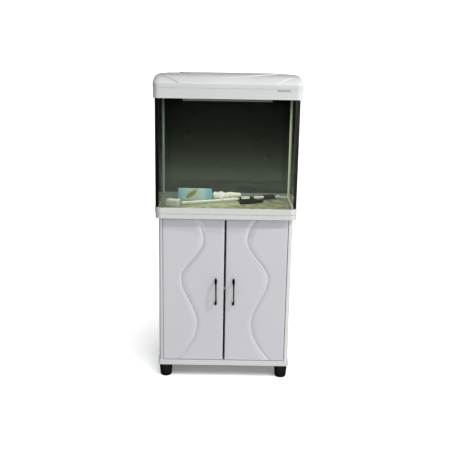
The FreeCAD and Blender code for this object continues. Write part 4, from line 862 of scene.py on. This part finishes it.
def make_door(side, word, material, groove_highlight_material):
    """A closed door: its front follows the wave in a grid, so that the groove stays crisp."""
    low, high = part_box("door_" + word)
    near, far = sorted((abs(low.x), abs(high.x)))
    rows = [low.z + step for step in rim_steps(EDGE_ROUND)]
    rows += spread(low.z + EDGE_ROUND, high.z - EDGE_ROUND, DOOR_ROWS)[1:-1]
    rows += [high.z - step for step in reversed(rim_steps(EDGE_ROUND))]
    verts = []
    for z in rows:
        middle, slope = wave_at(z)
        widen = math.sqrt(1.0 + slope * slope)
        band = [middle + GROOVE_HALF * part * widen for part in GROOVE_STEPS]
        columns = [near + step for step in rim_steps(MEETING_ROUND)]
        columns += spread(near + MEETING_ROUND, band[0], DOOR_COLUMNS)[1:-1] + band
        columns += spread(band[-1], far - EDGE_ROUND, DOOR_COLUMNS)[1:-1]
        columns += [far - step for step in reversed(rim_steps(EDGE_ROUND))]
        for x in columns:
            rim = min(far - x, z - low.z, high.z - z)
            drop = max(edge_drop(rim, EDGE_ROUND), edge_drop(x - near, MEETING_ROUND))
            depth = groove_depth((x - middle) / widen)
            verts.append((side * x, low.y + drop + depth, z))
    width = len(columns)
    groove_start = columns.index(band[0])
    groove_end = groove_start + len(band) - 1
    faces, grooved = [], []
    for row in range(len(rows) - 1):
        for column in range(width - 1):
            first = row * width + column
            if groove_start <= column < groove_end:
                grooved.append(len(faces))
            faces.append((first, first + 1, first + width + 1, first + width))
    bottom = list(range(width))
    right = [row * width + width - 1 for row in range(1, len(rows))]
    top = [(len(rows) - 1) * width + column for column in range(width - 2, -1, -1)]
    left = [row * width for row in range(len(rows) - 2, 0, -1)]
    outline = bottom + right + top + left
    start = len(verts)
    verts += [(verts[index][0], high.y, verts[index][2]) for index in outline]
    count = len(outline)
    for index in range(count):
        following = (index + 1) % count
        faces.append((outline[index], start + index, start + following, outline[following]))
    faces.append(tuple(range(start, start + count)))
    mesh = bpy.data.meshes.new("door_panel_" + word)
    mesh.from_pydata(verts, [], faces)
    door = add_object("door_panel_" + word, mesh)
    finish_mesh(door, "door_" + word, "door_board", material, "door_" + word)
    # The groove's faces get a paler foil than the door: a painted highlight.
    mesh.materials.append(groove_highlight_material)
    for index in grooved:
        mesh.polygons[index].material_index = 1
    smooth(door, DOOR_SHARP)


# ---------------------------------------------------------------- handles

# The bar's waist as a share of the leaves' width, and half its thickness.
WAIST_SHARE = 0.74
BAR_HALF_THICK = 2.75 * MM

# Where a leaf begins to widen and is full, and where its tip begins, as shares of the half
# length. TIP_THICKNESS is the share of the thickness that is left at the tip.
LEAF_START = 0.45
LEAF_FULL = 0.80
TIP_START = 0.80
TIP_THICKNESS = 0.55
TIP_POWER = 16

# The cross-section lies between an ellipse (1) and a box (0).
SECTION_POWER = 0.75
BAR_STEPS = 72
BAR_AROUND = 20
BAR_LEAST = 0.05 * MM
BAR_SHARP = 50


def make_handle(word, material):
    """A bowed bar, slim in the middle, that swells into a leaf at each end."""
    low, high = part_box("handle_bow_" + word)
    middle_x = 0.5 * (low.x + high.x)
    middle_z = 0.5 * (low.z + high.z)
    half = 0.5 * (high.z - low.z)
    leaf = 0.5 * (high.x - low.x)
    waist = WAIST_SHARE * leaf
    sag = (high.y - low.y) - 2.0 * BAR_HALF_THICK
    verts, faces = [], []
    for step in range(BAR_STEPS + 1):
        s = -math.cos(math.pi * step / BAR_STEPS)
        away = abs(s)
        width = waist + (leaf - waist) * smoothstep(LEAF_START, LEAF_FULL, away)
        into_tip = max(0.0, away - TIP_START) / (1.0 - TIP_START)
        tip = math.sqrt(max(0.0, 1.0 - into_tip**2))
        width = max(width * tip, BAR_LEAST)
        thinning = TIP_THICKNESS + (1.0 - TIP_THICKNESS) * tip
        closing = math.sqrt(max(0.0, 1.0 - away**TIP_POWER))
        depth = max(BAR_HALF_THICK * thinning * closing, BAR_LEAST)
        centre_y = low.y + BAR_HALF_THICK + sag * s * s
        for turn in range(BAR_AROUND):
            angle = 2 * math.pi * turn / BAR_AROUND
            cx, cy = math.cos(angle), math.sin(angle)
            x = width * math.copysign(abs(cx) ** SECTION_POWER, cx)
            y = depth * math.copysign(abs(cy) ** SECTION_POWER, cy)
            verts.append((middle_x + x, centre_y + y, middle_z + half * s))
    for step in range(BAR_STEPS):
        for turn in range(BAR_AROUND):
            first = step * BAR_AROUND + turn
            second = step * BAR_AROUND + (turn + 1) % BAR_AROUND
            faces.append((first, second, second + BAR_AROUND, first + BAR_AROUND))
    faces.append(tuple(range(BAR_AROUND)))
    faces.append(tuple(BAR_STEPS * BAR_AROUND + turn for turn in range(BAR_AROUND)))
    mesh = bpy.data.meshes.new("handle_bar_" + word)
    mesh.from_pydata(verts, [], faces)
    handle = add_object("handle_bar_" + word, mesh)
    finish_mesh(handle, "door_" + word, "handle_metal", material, "handle_bow_" + word)
    smooth(handle, BAR_SHARP)


# ---------------------------------------------------------------- soft filter parts

# Layers of roughness, as (fineness, height).
WOOL_TUFTS = ((38.0, 10.0 * MM), (110.0, 3.5 * MM), (330.0, 1.4 * MM))
SPONGE_PITS = ((60.0, 1.5 * MM), (400.0, 0.6 * MM))

# How far a tuft or a cell may stand above the CAD piece.
WOOL_RISE = 4 * MM
SPONGE_RISE = 1 * MM

# The size of the small faces of each piece.
WOOL_VOXEL = 1.6 * MM
BLOCK_VOXEL = 1.8 * MM
TRAY_VOXEL = 4.0 * MM
ALL_SMOOTH = 180


def copied(name, node, voxel):
    """A copy of a node's mesh with even small faces, ready to be shaped."""
    thing = add_object(name, NODES[node].data.copy())
    remesh = thing.modifiers.new("remesh", "REMESH")
    remesh.mode = "VOXEL"
    remesh.voxel_size = voxel
    apply_modifiers(thing)
    return thing


def roughen(thing, floor_z, ceiling_z, layers):
    """Moves each point along its normal by layered noise, but not below the floor it lies on."""
    mesh = thing.data
    moves = []
    for vertex in mesh.vertices:
        shift = sum(size * noise.noise(vertex.co * scale) for scale, size in layers)
        moves.append(vertex.co + vertex.normal * shift)
    for vertex, place in zip(mesh.vertices, moves):
        place.z = min(max(place.z, floor_z), ceiling_z)
        vertex.co = place


def make_wool(material):
    low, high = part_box("filter_wool")
    wool = copied("wool_heap", "filter_wool", WOOL_VOXEL)
    roughen(wool, low.z, high.z + WOOL_RISE, WOOL_TUFTS)
    finish_mesh(wool, "stand", "wool", material, "filter_wool")
    smooth(wool, ALL_SMOOTH)


def make_sponge(name, node, slot_name, material, voxel):
    low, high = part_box(node)
    sponge = copied(name, node, voxel)
    roughen(sponge, low.z, high.z + SPONGE_RISE, SPONGE_PITS)
    finish_mesh(sponge, "stand", slot_name, material, node)
    smooth(sponge, ALL_SMOOTH)


# ---------------------------------------------------------------- everything


def main():
    make_camera()
    make_studio()
    materials = make_materials()
    dress(materials)
    # Paler foil for the grooves: a painted highlight along each groove.
    groove = foil("groove_painted_highlight", (0.68, 0.68, 0.70), 0.3, 0.8)
    for side, word in ((-1, "left"), (1, "right")):
        make_door(side, word, materials["door_board"], groove)
        make_handle(word, handle_metal(word))
    sponge, dark_sponge = materials["sponge"], materials["dark_sponge"]
    make_wool(materials["wool"])
    make_sponge("sponge_piece", "sponge_block", "sponge", sponge, BLOCK_VOXEL)
    make_sponge("tray_filter_sponge", "tray_sponge", "dark_sponge", dark_sponge, TRAY_VOXEL)


main()
